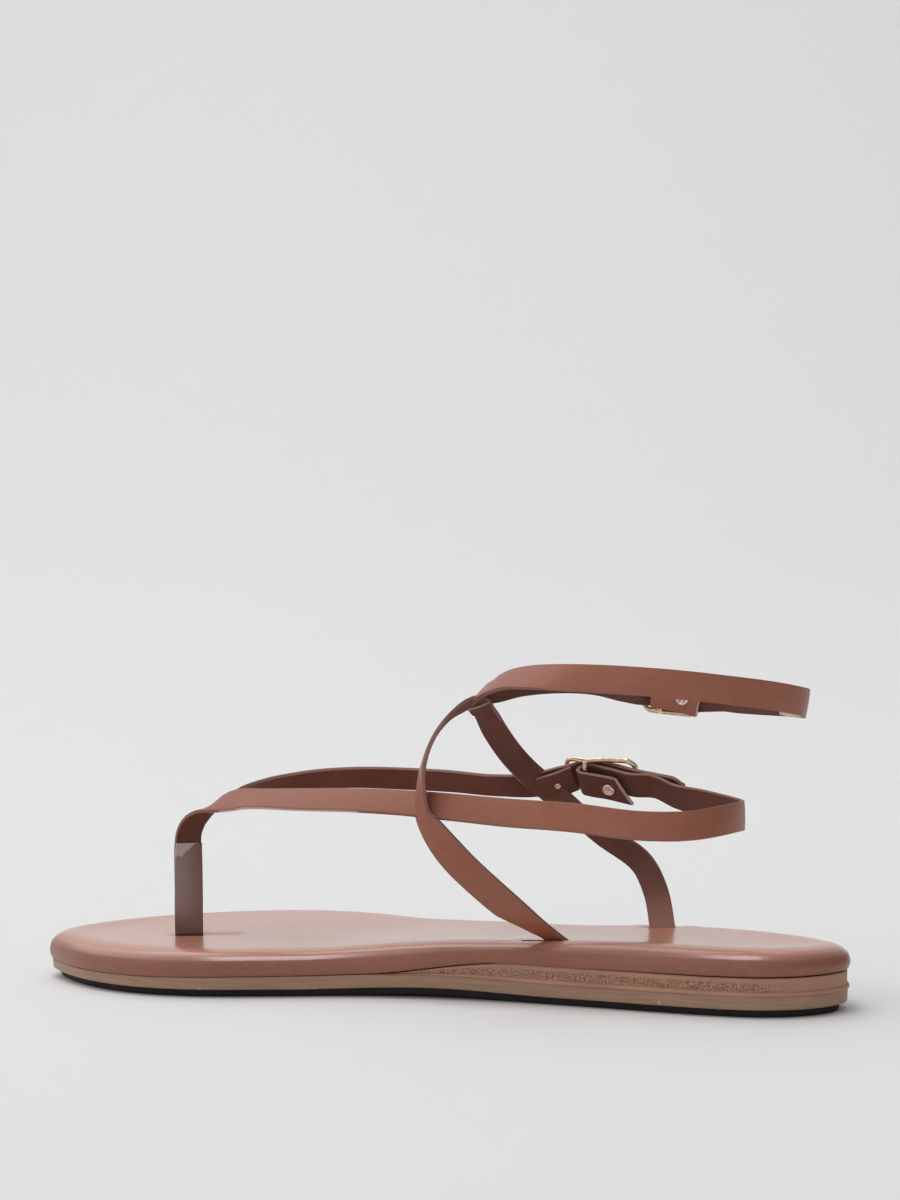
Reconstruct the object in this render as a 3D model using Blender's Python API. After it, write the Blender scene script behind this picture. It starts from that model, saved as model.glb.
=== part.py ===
"""Flat thong sandal for the right foot: layered sole, strap upper and two strap buckles.

Lengths in the tables are millimetres. x runs from the back of the heel to the toe, y is
positive on the medial side (towards the other foot) and z is the height above the floor.
The finished part is in metres, with its origin under the middle of the sole's box.
"""
import math

import bmesh
import bpy
import numpy as np
from mathutils import Vector

# Driving sizes
MM = 0.001
LENGTH = 250.0
SEAT_GAP = 0.3
OUTSOLE = 4.0
WEDGE_RISE = 4.9
WEDGE_SLOPE = (52.0, 160.0)
WEDGE_FEATHER = 0.7
FOOTBED = 7.0
FOOTBED_DISH = 0.5
DISH_BREADTH = 40.0
HEEL_FLAT_TO = 80.0
FOREFOOT_FLAT = (160.0, 205.0)
ARCH_LIFT = 1.0
TOE_SPRING = 0.4
MEDIAL_LIFT = 0.6
MEDIAL_LIFT_FADES = (90.0, 165.0)
HEEL_HALF_BREADTH = 24.0
OUTLINE_STEPS = 16
SOLE_STATIONS = 32
TOP_COLUMNS = 6
SHARP_ANGLE = 40.0

STRAP_WIDTH = 8.4
CROSS_STRAP_WIDTH = 7.6
STRAP_THICK = 1.6
STRAP_EDGE = 0.45
STRAP_STEP = 4.0
SLIT_CLEARANCE = 0.5

BUCKLE_ROD = 0.8
BUCKLE_HALF_WIDTH = 5.7
BUCKLE_CORNER = 3.0
BUCKLE_LEVEL = 3.2
BUCKLE_DIP = 2.2
BUCKLE_DIP_REACH = 3.4
BUCKLE_SIDE_STATIONS = (1.6, 0.0, -1.6, -4.0)
CORNER_STEPS = 4
PRONG_ROD = 0.6
PRONG_PAST_FRAME = 1.2
ROD_SIDES = 8
TIP_REACH = 17.0
FOLD_GAP = 0.35
FOLD_LEAD = 6.0
FOLD_STEPS = 6

# Edge profiles of the sole's layers: margin inside the outline, share of the layer's height
OUTSOLE_EDGE = ((1.8, 0.0), (1.0, 0.2), (0.8, 1.0))
WEDGE_EDGE = ((1.1, 0.0), (0.9, 0.5), (1.0, 1.0))
FOOTBED_EDGE = ((1.8, 0.0), (0.5, 0.1), (0.0, 0.34), (0.35, 0.66), (1.3, 0.885), (3.0, 1.0))

# Sole outline: distance from the heel, medial and lateral half breadth
HEEL_TIP = 2.0
TOE_TIP = 14.0
SOLE_ROWS = (
    # x, medial, lateral
    (3.0, 11.0, 6.6),
    (9.0, 17.4, 12.6),
    (18.0, 22.0, 18.6),
    (31.0, 24.0, 24.0),
    (48.0, 23.8, 27.0),
    (70.0, 22.6, 27.4),
    (95.0, 22.0, 27.6),
    (120.0, 23.6, 32.6),
    (145.0, 28.4, 41.6),
    (167.0, 36.2, 48.8),
    (187.0, 42.6, 49.6),
    (205.0, 43.7, 44.4),
    (220.0, 40.5, 35.6),
    (232.0, 34.8, 25.2),
    (242.0, 27.6, 11.6),
    (247.5, 22.0, 0.0),
)

# Strap centre lines: place, then the way the grain side faces as a compass angle and a lean
MAIN_ROWS = (
    # x, y, z, facing (0 toe, 90 medial), lean above level
    (205.4, 10.3, 6.9, -65.0, 0.0),
    (205.4, 10.3, 13.0, -65.0, 0.0),
    (205.3, 10.2, 24.3, -59.0, -3.0),
    (205.4, 10.0, 32.7, -47.0, -3.0),
    (205.4, 9.9, 37.6, -38.0, -2.0),
    (205.0, 9.7, 41.6, -32.0, 6.0),
    (203.3, 9.3, 44.3, -24.0, 33.0),
    (200.1, 9.0, 46.7, 8.0, 52.0),
    (196.3, 8.9, 49.2, 59.0, 55.0),
    (192.1, 9.4, 51.0, 91.0, 51.0),
    (187.1, 10.2, 52.1, 108.0, 47.0),
    (178.8, 13.0, 53.1, 86.0, 55.0),
    (163.0, 17.5, 53.9, 86.0, 50.0),
    (141.0, 22.0, 54.8, 86.0, 45.0),
    (125.7, 24.0, 54.8, 88.0, 42.0),
    (110.8, 25.2, 54.2, 90.0, 36.0),
    (91.8, 26.0, 53.2, 92.0, 30.0),
    (73.6, 25.5, 52.5, 97.0, 25.0),
    (52.2, 22.5, 50.4, 110.0, 22.0),
    (40.9, 17.0, 50.2, 130.0, 12.0),
    (35.0, 9.0, 50.8, 152.0, 4.0),
    (33.2, 1.5, 50.9, 174.0, 0.0),
    (33.9, -7.0, 50.5, -168.0, 0.0),
    (39.4, -15.0, 50.6, -138.0, 8.0),
    (50.2, -20.4, 51.9, -112.0, 18.0),
    (60.6, -23.4, 53.3, -102.0, 27.0),
)
LATERAL_ROWS = (
    (199.8, 8.6, 47.1, 14.0, 52.0),
    (197.0, 6.6, 49.6, 27.0, 57.0),
    (192.0, 1.8, 53.3, -60.0, 72.0),
    (185.2, -5.0, 55.9, -70.0, 66.0),
    (177.9, -11.5, 57.2, -76.0, 60.0),
    (165.5, -18.6, 57.3, -82.0, 55.0),
    (148.3, -23.5, 56.7, -86.0, 50.0),
    (134.2, -25.7, 55.7, -88.0, 44.0),
    (120.0, -27.0, 55.0, -90.0, 38.0),
)
CROSS_ROWS = (
    (88.0, 12.7, 10.6, 90.0, 0.0),
    (88.0, 12.7, 16.4, 90.0, -4.0),
    (89.6, 16.8, 20.0, 86.0, -34.0),
    (93.8, 21.6, 23.6, 80.0, -22.0),
    (102.1, 25.5, 31.3, 76.0, -4.0),
    (110.8, 27.2, 40.0, 72.0, 6.0),
    (116.3, 28.0, 48.1, 68.0, -22.0),
    (117.9, 28.1, 51.5, 57.0, -13.0),
    (118.8, 27.8, 55.4, 45.0, -2.0),
    (119.2, 27.0, 59.1, 38.0, 4.0),
    (119.8, 25.2, 62.4, 32.0, 10.0),
    (119.9, 20.4, 69.4, 25.0, 19.0),
    (118.3, 14.2, 76.2, 17.0, 36.0),
    (115.4, 8.0, 80.7, -7.0, 48.0),
    (113.0, 1.5, 82.0, -66.0, 47.0),
    (113.0, -5.0, 78.8, -87.0, 9.0),
    (112.6, -11.0, 72.8, -74.0, 2.0),
    (110.8, -17.5, 65.7, -65.0, -3.0),
    (107.7, -22.7, 59.7, -59.0, -9.0),
    (104.0, -26.0, 55.2, -76.0, 2.0),
    (98.4, -27.4, 50.4, -92.0, 10.0),
    (86.4, -28.0, 41.0, -98.0, 14.0),
    (72.6, -27.4, 32.0, -98.0, 0.0),
    (66.8, -25.4, 25.2, -94.0, -10.0),
    (65.2, -22.6, 17.2, -90.0, -6.0),
    (65.2, -22.4, 11.4, -90.0, 0.0),
)
ANKLE_BACK_ROWS = (
    (40.0, -23.2, 83.0, -106.0, 2.0),
    (24.0, -17.5, 82.8, -130.0, 0.0),
    (15.0, -8.5, 83.1, -156.0, -4.0),
    (13.0, 0.0, 83.7, 180.0, -7.0),
    (16.2, 9.0, 84.8, 154.0, -6.0),
    (26.0, 18.0, 87.1, 128.0, -2.0),
    (38.0, 22.9, 89.1, 108.0, 0.0),
    (50.7, 24.6, 90.8, 115.0, 11.0),
    (64.4, 24.0, 91.5, 115.0, 19.0),
    (77.4, 21.9, 91.6, 115.0, 27.0),
    (88.3, 18.0, 91.2, 114.0, 34.0),
    (97.1, 13.6, 90.1, 107.0, 43.0),
    (103.0, 9.6, 88.3, 89.0, 50.0),
    (107.9, 5.4, 86.1, 55.0, 54.0),
    (111.7, 1.0, 84.2, 15.0, 42.0),
    (109.4, -4.6, 85.6, -46.0, 14.0),
    (104.0, -10.6, 86.6, -52.0, 6.0),
    (95.0, -16.4, 87.2, -62.0, 2.0),
    (84.0, -22.0, 86.4, -72.0, 0.0),
)

# Buckles: bar centre, strap direction, outward direction, reach before and behind the bar,
# slope of the billet's tip, and the billet's last place before the frame (further along, out)
BUCKLES = {
    "instep": dict(bar=(90.0, -27.1, 56.9), run=(1.0, 0.0, 0.02), face=(0.0, -0.85, 0.53),
                   front=7.0, rear=15.0, tip_turn=0.2, lead=(9.0, 0.8)),
    "ankle": dict(bar=(66.0, -25.8, 83.3), run=(0.99, 0.05, 0.10), face=(0.0, -1.0, 0.0),
                  front=5.8, rear=11.4, tip_turn=0.12, lead=(5.0, -0.7)),
}
BILLET_ROWS = (
    # share of the frame's reach (front positive, rear negative), distance out from the bar
    (1.0, 0.65),
    (0.5, 2.5),
    (0.0, 4.1),
    (-0.5, 3.0),
    (-1.0, 0.95),
)
FOLD_OUTSIDE = ((-1.0, -1.25), (-0.5, 0.8))
FOLD_INSIDE = (
    # share of the frame's reach, distance out from the bar, shift across the strap
    (-0.5, -2.7, -0.3),
    (-1.02, -3.5, -1.0),
)
KEEPER_ROWS = (
    # distance in front of the bar, distance out from the bar
    (4.2, 0.9),
    (8.4, -1.5),
    (12.6, -2.6),
)

COLOURS = {
    "outsole": ((0.21, 0.12, 0.075), 0.6, 0.0),
    "heel_wedge": ((0.26, 0.14, 0.09), 0.75, 0.0),
    "footbed": ((0.40, 0.21, 0.16), 0.42, 0.0),
    "upper": ((0.30, 0.145, 0.105), 0.45, 0.0),
    "buckle": ((0.83, 0.66, 0.42), 0.22, 1.0),
}


def smoothstep(value, low, high):
    share = min(1.0, max(0.0, (value - low) / (high - low)))
    return share * share * (3.0 - 2.0 * share)


# Sole heights
def floor_height(x):
    """Underside of the sole: flat heel and forefoot, a lifted arch and a little toe spring."""
    start, end = FOREFOOT_FLAT
    middle = 0.5 * (HEEL_FLAT_TO + start)
    arch = ARCH_LIFT * smoothstep(x, HEEL_FLAT_TO, middle) * (1.0 - smoothstep(x, middle, start))
    reach = max(0.0, x - end) / (LENGTH - end)
    return arch + TOE_SPRING * reach * reach


def wedge_rise(x):
    return WEDGE_RISE * (1.0 - smoothstep(x, *WEDGE_SLOPE))


def outsole_top(x):
    return floor_height(x) + OUTSOLE


def footbed_bottom(x):
    return outsole_top(x) + SEAT_GAP + wedge_rise(x)


def footbed_top(x, y):
    tilt = max(-1.0, min(1.0, y / HEEL_HALF_BREADTH))
    lift = MEDIAL_LIFT * tilt * (1.0 - smoothstep(x, *MEDIAL_LIFT_FADES))
    return footbed_bottom(x) + FOOTBED + lift


# Curves
def catmull_rom(points, steps, closed=False):
    """Points on a smooth curve through the given rows, with a step count for each span."""
    rows = np.array(points, dtype=float)
    count = len(rows)
    spans = count if closed else count - 1
    out = []
    for i in range(spans):
        if closed:
            p0, p1, p2, p3 = (rows[(i + k) % count] for k in (-1, 0, 1, 2))
        else:
            p1, p2 = rows[i], rows[i + 1]
            p0 = rows[i - 1] if i > 0 else 2.0 * p1 - p2
            p3 = rows[i + 2] if i + 2 < count else 2.0 * p2 - p1
        pairs = ((p0, p1), (p1, p2), (p2, p3))
        d01, d12, d23 = (max(1e-6, np.linalg.norm((b - a)[:3])) for a, b in pairs)
        m1 = (p2 - p1) + d12 * ((p1 - p0) / d01 - (p2 - p0) / (d01 + d12))
        m2 = (p2 - p1) + d12 * ((p3 - p2) / d23 - (p3 - p1) / (d12 + d23))
        number = steps(d12)
        for k in range(number):
            t = k / number
            out.append((2 * t**3 - 3 * t**2 + 1) * p1 + (t**3 - 2 * t**2 + t) * m1
                       + (3 * t**2 - 2 * t**3) * p2 + (t**3 - t**2) * m2)
    if not closed:
        out.append(rows[-1])
    return np.array(out)


def sole_outline():
    """Closed outline, heel tip first, then the medial side, the toe tip and the lateral side."""
    medial = [(x, inner) for x, inner, _ in SOLE_ROWS]
    lateral = [(x, -outer) for x, _, outer in reversed(SOLE_ROWS)]
    rows = [(0.0, HEEL_TIP)] + medial + [(LENGTH, TOE_TIP)] + lateral
    return catmull_rom(rows, lambda span: OUTLINE_STEPS, closed=True)


OUTLINE = sole_outline()
MIDDLE_Y = 0.5 * (OUTLINE[:, 1].min() + OUTLINE[:, 1].max())


def place(x, y, z):
    """Table millimetres to the part's metres."""
    return Vector(((x - 0.5 * LENGTH) * MM, (y - MIDDLE_Y) * MM, z * MM))


def inset_sides(inset, x_end=None):
    """Medial and lateral points at matching stations on the outline drawn in by a margin."""
    step = np.roll(OUTLINE, -1, axis=0) - np.roll(OUTLINE, 1, axis=0)
    step /= np.linalg.norm(step, axis=1)[:, None]
    curve = OUTLINE + inset * np.c_[step[:, 1], -step[:, 0]]
    heel, toe = int(np.argmin(curve[:, 0])), int(np.argmax(curve[:, 0]))
    curve = np.roll(curve, -heel, axis=0)
    toe = (toe - heel) % len(curve)
    medial = curve[:toe + 1]
    lateral = np.r_[curve[toe:], curve[:1]][::-1]
    low, high = medial[0, 0], medial[-1, 0]
    sides = []
    for side in (medial, lateral):
        order = np.argsort(side[:, 0], kind="stable")
        sides.append((side[order, 0], side[order, 1]))
    turns = [math.pi * i / SOLE_STATIONS for i in range(SOLE_STATIONS + 1)]
    stations = [low + (high - low) * 0.5 * (1.0 - math.cos(turn)) for turn in turns]
    if x_end is not None:
        stations = [low + (x_end - low) * math.sin(0.5 * turn) ** 1.6 for turn in turns]
        stations[0] = low
    return [(x, np.interp(x, *sides[0]), np.interp(x, *sides[1])) for x in stations]


# Meshes
def finish(name, bm, colour):
    bmesh.ops.recalc_face_normals(bm, faces=bm.faces)
    mesh = bpy.data.meshes.new(name)
    bm.to_mesh(mesh)
    bm.free()
    mesh.shade_smooth()
    mesh.set_sharp_from_angle(angle=math.radians(SHARP_ANGLE))
    item = bpy.data.objects.new(name, mesh)
    bpy.context.collection.objects.link(item)
    paint(item, colour)
    return item


def paint(item, colour):
    material = bpy.data.materials.get(colour) or bpy.data.materials.new(colour)
    material.use_nodes = True
    shader = material.node_tree.nodes["Principled BSDF"]
    base, rough, metal = COLOURS[colour]
    shader.inputs["Base Color"].default_value = (*base, 1.0)
    shader.inputs["Roughness"].default_value = rough
    shader.inputs["Metallic"].default_value = metal
    item.data.materials.clear()
    item.data.materials.append(material)


def sole_layer(name, edge, bottom, top, x_end=None, dish=0.0):
    """A closed layer between two height functions, its side following an edge profile.

    It covers the whole outline, or ends square across the sole at x_end. Its top may be dished.
    """
    bm = bmesh.new()
    square_end = x_end is not None
    loops, caps = [], []
    for margin, share in edge:
        def height(x, y, share=share):
            return bottom(x, y) + share * (top(x, y) - bottom(x, y))

        sides = inset_sides(margin, x_end)
        medial = [bm.verts.new(place(x, inner, height(x, inner))) for x, inner, _ in sides]
        apart = sides[1:] if square_end else sides[1:-1]
        lateral = [bm.verts.new(place(x, outer, height(x, outer))) for x, _, outer in apart]
        loops.append(medial + lateral[::-1])
        lateral = [medial[0]] + lateral + ([] if square_end else [medial[-1]])
        caps.append((medial, lateral, sides, height))
    for low, high in zip(loops, loops[1:]):
        skin_between(bm, low, high)
    close_cap(bm, *caps[0], columns=1, dish=0.0)
    close_cap(bm, *caps[-1], columns=TOP_COLUMNS if dish else 1, dish=dish)
    return finish(name, bm, name)


def skin_between(bm, low, high):
    """Quads between two closed loops of the same count."""
    for i in range(len(low)):
        j = (i + 1) % len(low)
        bm.faces.new((low[i], low[j], high[j], high[i]))


def close_cap(bm, medial, lateral, sides, height, columns, dish):
    """Rows of faces across the sole from its medial to its lateral edge."""
    rows = []
    for start, end, (x, inner, outer) in zip(medial, lateral, sides):
        if start is end:
            rows.append([start])
            continue
        depth = dish * min(1.0, (inner - outer) / DISH_BREADTH)
        row = [start]
        for k in range(1, columns):
            share = k / columns
            y = inner + (outer - inner) * share
            row.append(bm.verts.new(place(x, y, height(x, y) - depth * math.sin(math.pi * share))))
        rows.append(row + [end])
    for here, there in zip(rows, rows[1:]):
        here = here if len(here) > 1 else here * (columns + 1)
        there = there if len(there) > 1 else there * (columns + 1)
        for k in range(columns):
            corners = (here[k], here[k + 1], there[k + 1], there[k])
            bm.faces.new(list(dict.fromkeys(corners)))


def facing(angle, lean):
    a, e = math.radians(angle), math.radians(lean)
    return (math.cos(a) * math.cos(e), math.sin(a) * math.cos(e), math.sin(e))


def strap_stations(rows):
    return [(x, y, z, *facing(angle, lean)) for x, y, z, angle, lean in rows]


def strap_section(width):
    w, t, c = 0.5 * width, 0.5 * STRAP_THICK, STRAP_EDGE
    quarter = [(w - c, t), (w, t - c)]
    right = quarter + [(a, -b) for a, b in reversed(quarter)]
    return right + [(-a, -b) for a, b in right]


def strap(name, stations, width=STRAP_WIDTH):
    """A leather strap swept along its centre line, wide side square to the facing direction."""
    curve = catmull_rom(stations, lambda span: max(1, round(span / STRAP_STEP)))
    points = curve[:, :3]
    along = np.gradient(points, axis=0)
    bm = bmesh.new()
    loops = []
    for point, tangent, normal in zip(points, along, curve[:, 3:]):
        tangent = Vector(tangent).normalized()
        normal = Vector(normal)
        normal = (normal - normal.dot(tangent) * tangent).normalized()
        across = normal.cross(tangent)
        ring = []
        for w, t in strap_section(width):
            spot = Vector(point) + w * across + t * normal
            ring.append(bm.verts.new(place(*spot)))
        loops.append(ring)
    for low, high in zip(loops, loops[1:]):
        skin_between(bm, low, high)
    bm.faces.new(loops[0])
    bm.faces.new(loops[-1])
    return finish(name, bm, "upper")


# Buckle frame of reference
def buckle_axes(key):
    layout = BUCKLES[key]
    run = Vector(layout["run"]).normalized()
    face = Vector(layout["face"])
    face = (face - face.dot(run) * run).normalized()
    return Vector(layout["bar"]), run, face, face.cross(run)


def buckle_spot(key, along, out, across=0.0):
    bar, run, face, side = buckle_axes(key)
    return bar + along * run + out * face + across * side


def buckle_station(key, along, out, across=0.0, turn=0.0):
    """A strap station near the buckle; turn swings its facing from outward to the toe and inward."""
    _, run, face, _ = buckle_axes(key)
    angle = math.radians(turn)
    normal = math.cos(angle) * face + math.sin(angle) * run
    return (*buckle_spot(key, along, out, across), *normal)


def reach(key, share):
    """Distance from the bar at a share of the frame's front or rear reach."""
    return share * BUCKLES[key]["front" if share > 0.0 else "rear"]


def billet_stations(key):
    """The free strap: under the frame's front end, over the bar, under its rear end, then its tip."""
    lead, lead_out = BUCKLES[key]["lead"]
    layout = [(reach(key, 1.0) + lead, lead_out)]
    layout += [(reach(key, share), out) for share, out in BILLET_ROWS]
    end, end_out = layout[-1]
    for part in (0.5, 1.0):
        layout.append((end - part * TIP_REACH, end_out - part * TIP_REACH * BUCKLES[key]["tip_turn"]))
    return [buckle_station(key, along, out) for along, out in layout]


def bar_fold_stations(key):
    """The buckle's own strap: out over the bar, round it and back inside to its cut end."""
    radius = BUCKLE_ROD + FOLD_GAP + 0.5 * STRAP_THICK
    stations = [buckle_station(key, reach(key, -1.0) - FOLD_LEAD, FOLD_OUTSIDE[0][1])]
    stations += [buckle_station(key, reach(key, share), out) for share, out in FOLD_OUTSIDE]
    for i in range(FOLD_STEPS + 1):
        turn = 180.0 * i / FOLD_STEPS
        angle = math.radians(turn)
        stations.append(buckle_station(key, radius * math.sin(angle), radius * math.cos(angle), 0.0, turn))
    for share, out, across in FOLD_INSIDE:
        stations.append(buckle_station(key, reach(key, share), out, across, 180.0))
    return stations


def keeper_stations(key):
    """Short tab inside the billet that holds the crossing strap against it."""
    return [buckle_station(key, along, out) for along, out in KEEPER_ROWS]


def tube(name, path, radius, closed, colour):
    """A round rod along a path of points."""
    bm = bmesh.new()
    points = np.array([tuple(p) for p in path])
    if closed:
        along = np.roll(points, -1, axis=0) - np.roll(points, 1, axis=0)
    else:
        along = np.gradient(points, axis=0)
    reference = Vector(np.linalg.svd(points - points.mean(axis=0))[2][2])
    loops = []
    for point, tangent in zip(points, along):
        tangent = Vector(tangent).normalized()
        side = reference.cross(tangent).normalized()
        up = tangent.cross(side)
        ring = []
        for k in range(ROD_SIDES):
            turn = 2.0 * math.pi * k / ROD_SIDES
            spot = Vector(point) + radius * (math.cos(turn) * side + math.sin(turn) * up)
            ring.append(bm.verts.new(place(*spot)))
        loops.append(ring)
    for low, high in zip(loops, loops[1:] + (loops[:1] if closed else [])):
        skin_between(bm, low, high)
    if not closed:
        bm.faces.new(loops[0])
        bm.faces.new(loops[-1])
    return finish(name, bm, colour)


def join_into(target, others):
    """Boolean union of the others into the target."""
    for other in others:
        union = target.modifiers.new("join " + other.name, "BOOLEAN")
        union.operation = "UNION"
        union.solver = "EXACT"
        union.object = other
        hide(other)


def cut_from(target, cutters):
    for cutter in cutters:
        cut = target.modifiers.new("cut " + cutter.name, "BOOLEAN")
        cut.operation = "DIFFERENCE"
        cut.solver = "EXACT"
        cut.object = cutter
        hide(cutter)


def hide(item):
    item.hide_render = True
    item.display_type = "WIRE"


# Pieces
def make_outsole():
    return sole_layer("outsole", OUTSOLE_EDGE, lambda x, y: floor_height(x), lambda x, y: outsole_top(x))


def make_heel_wedge():
    """Wedge under the heel, cut off square where it has thinned to a feather."""
    end = WEDGE_SLOPE[1]
    while wedge_rise(end) - SEAT_GAP < WEDGE_FEATHER:
        end -= 1.0
    return sole_layer("heel_wedge", WEDGE_EDGE, lambda x, y: outsole_top(x) + SEAT_GAP,
                      lambda x, y: footbed_bottom(x) - SEAT_GAP, x_end=end)


def make_footbed():
    footbed = sole_layer("footbed", FOOTBED_EDGE, lambda x, y: footbed_bottom(x), footbed_top,
                         dish=FOOTBED_DISH)
    ends = (("toe", MAIN_ROWS[0]), ("medial", CROSS_ROWS[0]), ("lateral", CROSS_ROWS[-1]))
    cut_from(footbed, [make_slit(label, row) for label, row in ends])
    return footbed


def make_slit(label, row):
    """Slot in the footbed round a strap end."""
    x, y, z, angle, _ = row
    length = STRAP_WIDTH + 2.0 * SLIT_CLEARANCE
    breadth = STRAP_THICK + 2.0 * SLIT_CLEARANCE
    low, high = z - SEAT_GAP, z + 2.0 * FOOTBED
    bm = bmesh.new()
    bmesh.ops.create_cube(bm, size=1.0)
    bmesh.ops.scale(bm, vec=Vector((length, breadth, high - low)) * MM, verts=bm.verts)
    slit = finish("slit " + label, bm, "footbed")
    slit.location = place(x, y, 0.5 * (low + high))
    slit.rotation_euler.z = math.radians(angle + 90.0)
    return slit


def make_upper():
    main = strap("upper", strap_stations(MAIN_ROWS) + bar_fold_stations("instep"))
    lateral = strap("lateral strap", strap_stations(LATERAL_ROWS) + billet_stations("instep"))
    cross = strap("cross strap", strap_stations(CROSS_ROWS), CROSS_STRAP_WIDTH)
    fold = list(reversed(bar_fold_stations("ankle")))
    fold = fold + strap_stations(ANKLE_BACK_ROWS) + billet_stations("ankle")
    ankle = strap("ankle strap", fold)
    keeper = strap("keeper tab", keeper_stations("instep"))
    join_into(main, (lateral, cross, ankle, keeper))
    return main


def frame_path(key):
    """Rounded rectangle round the bar, as places along and across the strap."""
    front, rear = reach(key, 1.0), reach(key, -1.0)
    inner = BUCKLE_HALF_WIDTH - BUCKLE_CORNER
    corners = (
        # corner centre along, across, first angle
        (front - BUCKLE_CORNER, -inner, -90.0),
        (front - BUCKLE_CORNER, inner, 0.0),
        (rear + BUCKLE_CORNER, inner, 90.0),
        (rear + BUCKLE_CORNER, -inner, 180.0),
    )
    rounds = []
    for along, across, first in corners:
        turns = [math.radians(first + 90.0 * i / CORNER_STEPS) for i in range(CORNER_STEPS + 1)]
        rounds.append([(along + BUCKLE_CORNER * math.cos(turn), across + BUCKLE_CORNER * math.sin(turn))
                       for turn in turns])
    side = [(along, BUCKLE_HALF_WIDTH) for along in BUCKLE_SIDE_STATIONS]
    other_side = [(along, -across) for along, across in reversed(side)]
    return rounds[0] + rounds[1] + side + rounds[2] + rounds[3] + other_side


def make_buckle(key):
    """Bowed frame with its bar, and the prong that lies on the strap and the frame's rear end."""
    ring = []
    for along, across in frame_path(key):
        out = BUCKLE_LEVEL - BUCKLE_DIP * math.exp(-(along / BUCKLE_DIP_REACH) ** 2)
        ring.append(buckle_spot(key, along, out, across))
    frame = tube(key + "_buckle_frame", ring, BUCKLE_ROD, True, "buckle")
    ends = [buckle_spot(key, 0.0, 0.0, across) for across in (-BUCKLE_HALF_WIDTH, BUCKLE_HALF_WIDTH)]
    join_into(frame, (tube(key + " bar", ends, BUCKLE_ROD, False, "buckle"),))
    over_bar = dict(BILLET_ROWS)[0.0] + 0.5 * STRAP_THICK + SEAT_GAP + PRONG_ROD
    over_frame = BUCKLE_LEVEL + BUCKLE_ROD + SEAT_GAP + PRONG_ROD
    rear = reach(key, -1.0)
    layout = ((-PRONG_ROD, over_bar), (0.5 * rear, 0.5 * (over_bar + over_frame)),
              (rear - PRONG_PAST_FRAME, over_frame))
    prong = [buckle_spot(key, along, out) for along, out in layout]
    tube(key + "_buckle_prong", prong, PRONG_ROD, False, "buckle")


def main():
    for item in list(bpy.data.objects):
        bpy.data.objects.remove(item, do_unlink=True)
    make_outsole()
    make_heel_wedge()
    make_footbed()
    make_upper()
    for key in BUCKLES:
        make_buckle(key)


main()
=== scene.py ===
"""Looks of the flat thong sandal: padded footbed, layered sole, strap leather, buckles and studio.

Tables are in millimetres: x from the back of the heel to the toe, y positive on the medial
side, z above the outsole's rim. Finished pieces are in metres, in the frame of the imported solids.
"""
import math
from collections import namedtuple

import bpy
import numpy as np
from mathutils import Matrix, Vector, noise


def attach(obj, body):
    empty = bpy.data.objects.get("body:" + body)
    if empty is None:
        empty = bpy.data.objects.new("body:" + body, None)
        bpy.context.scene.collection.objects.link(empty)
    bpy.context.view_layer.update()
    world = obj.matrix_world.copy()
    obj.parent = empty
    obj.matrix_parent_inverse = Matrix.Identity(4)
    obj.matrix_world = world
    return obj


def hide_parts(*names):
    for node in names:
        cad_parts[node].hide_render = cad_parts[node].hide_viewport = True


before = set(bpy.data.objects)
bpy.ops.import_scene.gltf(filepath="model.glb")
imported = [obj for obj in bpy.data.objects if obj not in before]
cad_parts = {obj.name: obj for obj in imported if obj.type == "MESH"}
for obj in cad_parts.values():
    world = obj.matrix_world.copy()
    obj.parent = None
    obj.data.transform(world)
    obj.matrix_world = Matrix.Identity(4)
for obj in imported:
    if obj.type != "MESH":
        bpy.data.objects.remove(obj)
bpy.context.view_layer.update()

# Sole sizes
MM = 0.001
LENGTH = 250.0
SEAT_GAP = 0.3
OUTSOLE = 4.0
SOLE_FOOT = 2.3
TOE_SKIVE = 0.9
TOE_SKIVE_RUN = (150.0, 240.0)
BED_RISE = 4.9
BED_SLOPE = (52.0, 160.0)
WEDGE_RISE = 5.0
WEDGE_SLOPE = (90.0, 138.0)
WEDGE_FEATHER = 0.12
WEDGE_SEAT = 0.02
WEDGE_MIDDLE = 0.42
WEDGE_STEP = 0.5
WEDGE_SPECKLE_STARTS = (7.0, 25.0)
FOOT_LINE = 0.02
FOOTBED = 7.0
FOOTBED_DISH = 0.5
DISH_BREADTH = 40.0
HEEL_FLAT_TO = 80.0
FOREFOOT_FLAT = (160.0, 205.0)
ARCH_LIFT = 1.0
TOE_SPRING = 0.4
MEDIAL_LIFT = 0.6
MEDIAL_LIFT_FADES = (90.0, 165.0)
HEEL_HALF_BREADTH = 24.0
OUTLINE_STEPS = 12
OUTSOLE_RINGS = 3
FOOTBED_UNDER_RINGS = 2
FOOTBED_TOP_RINGS = 56
SIDE_STEPS = 4
HEEL_TIP = 2.0
TOE_TIP = 14.0
SOLE_MIDDLE = (125.0, -3.0)
SOLE_ROWS = (
    # x, medial half breadth, lateral half breadth
    (3.0, 11.0, 6.6),
    (9.0, 17.4, 12.6),
    (18.0, 22.0, 18.6),
    (31.0, 24.0, 24.0),
    (48.0, 23.8, 27.0),
    (70.0, 22.6, 27.4),
    (95.0, 22.0, 27.6),
    (120.0, 23.6, 32.6),
    (145.0, 28.4, 41.6),
    (167.0, 36.2, 48.8),
    (187.0, 42.6, 49.6),
    (205.0, 43.7, 44.4),
    (220.0, 40.5, 35.6),
    (232.0, 34.8, 25.2),
    (242.0, 27.6, 11.6),
    (247.5, 22.0, 0.0),
)
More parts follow.
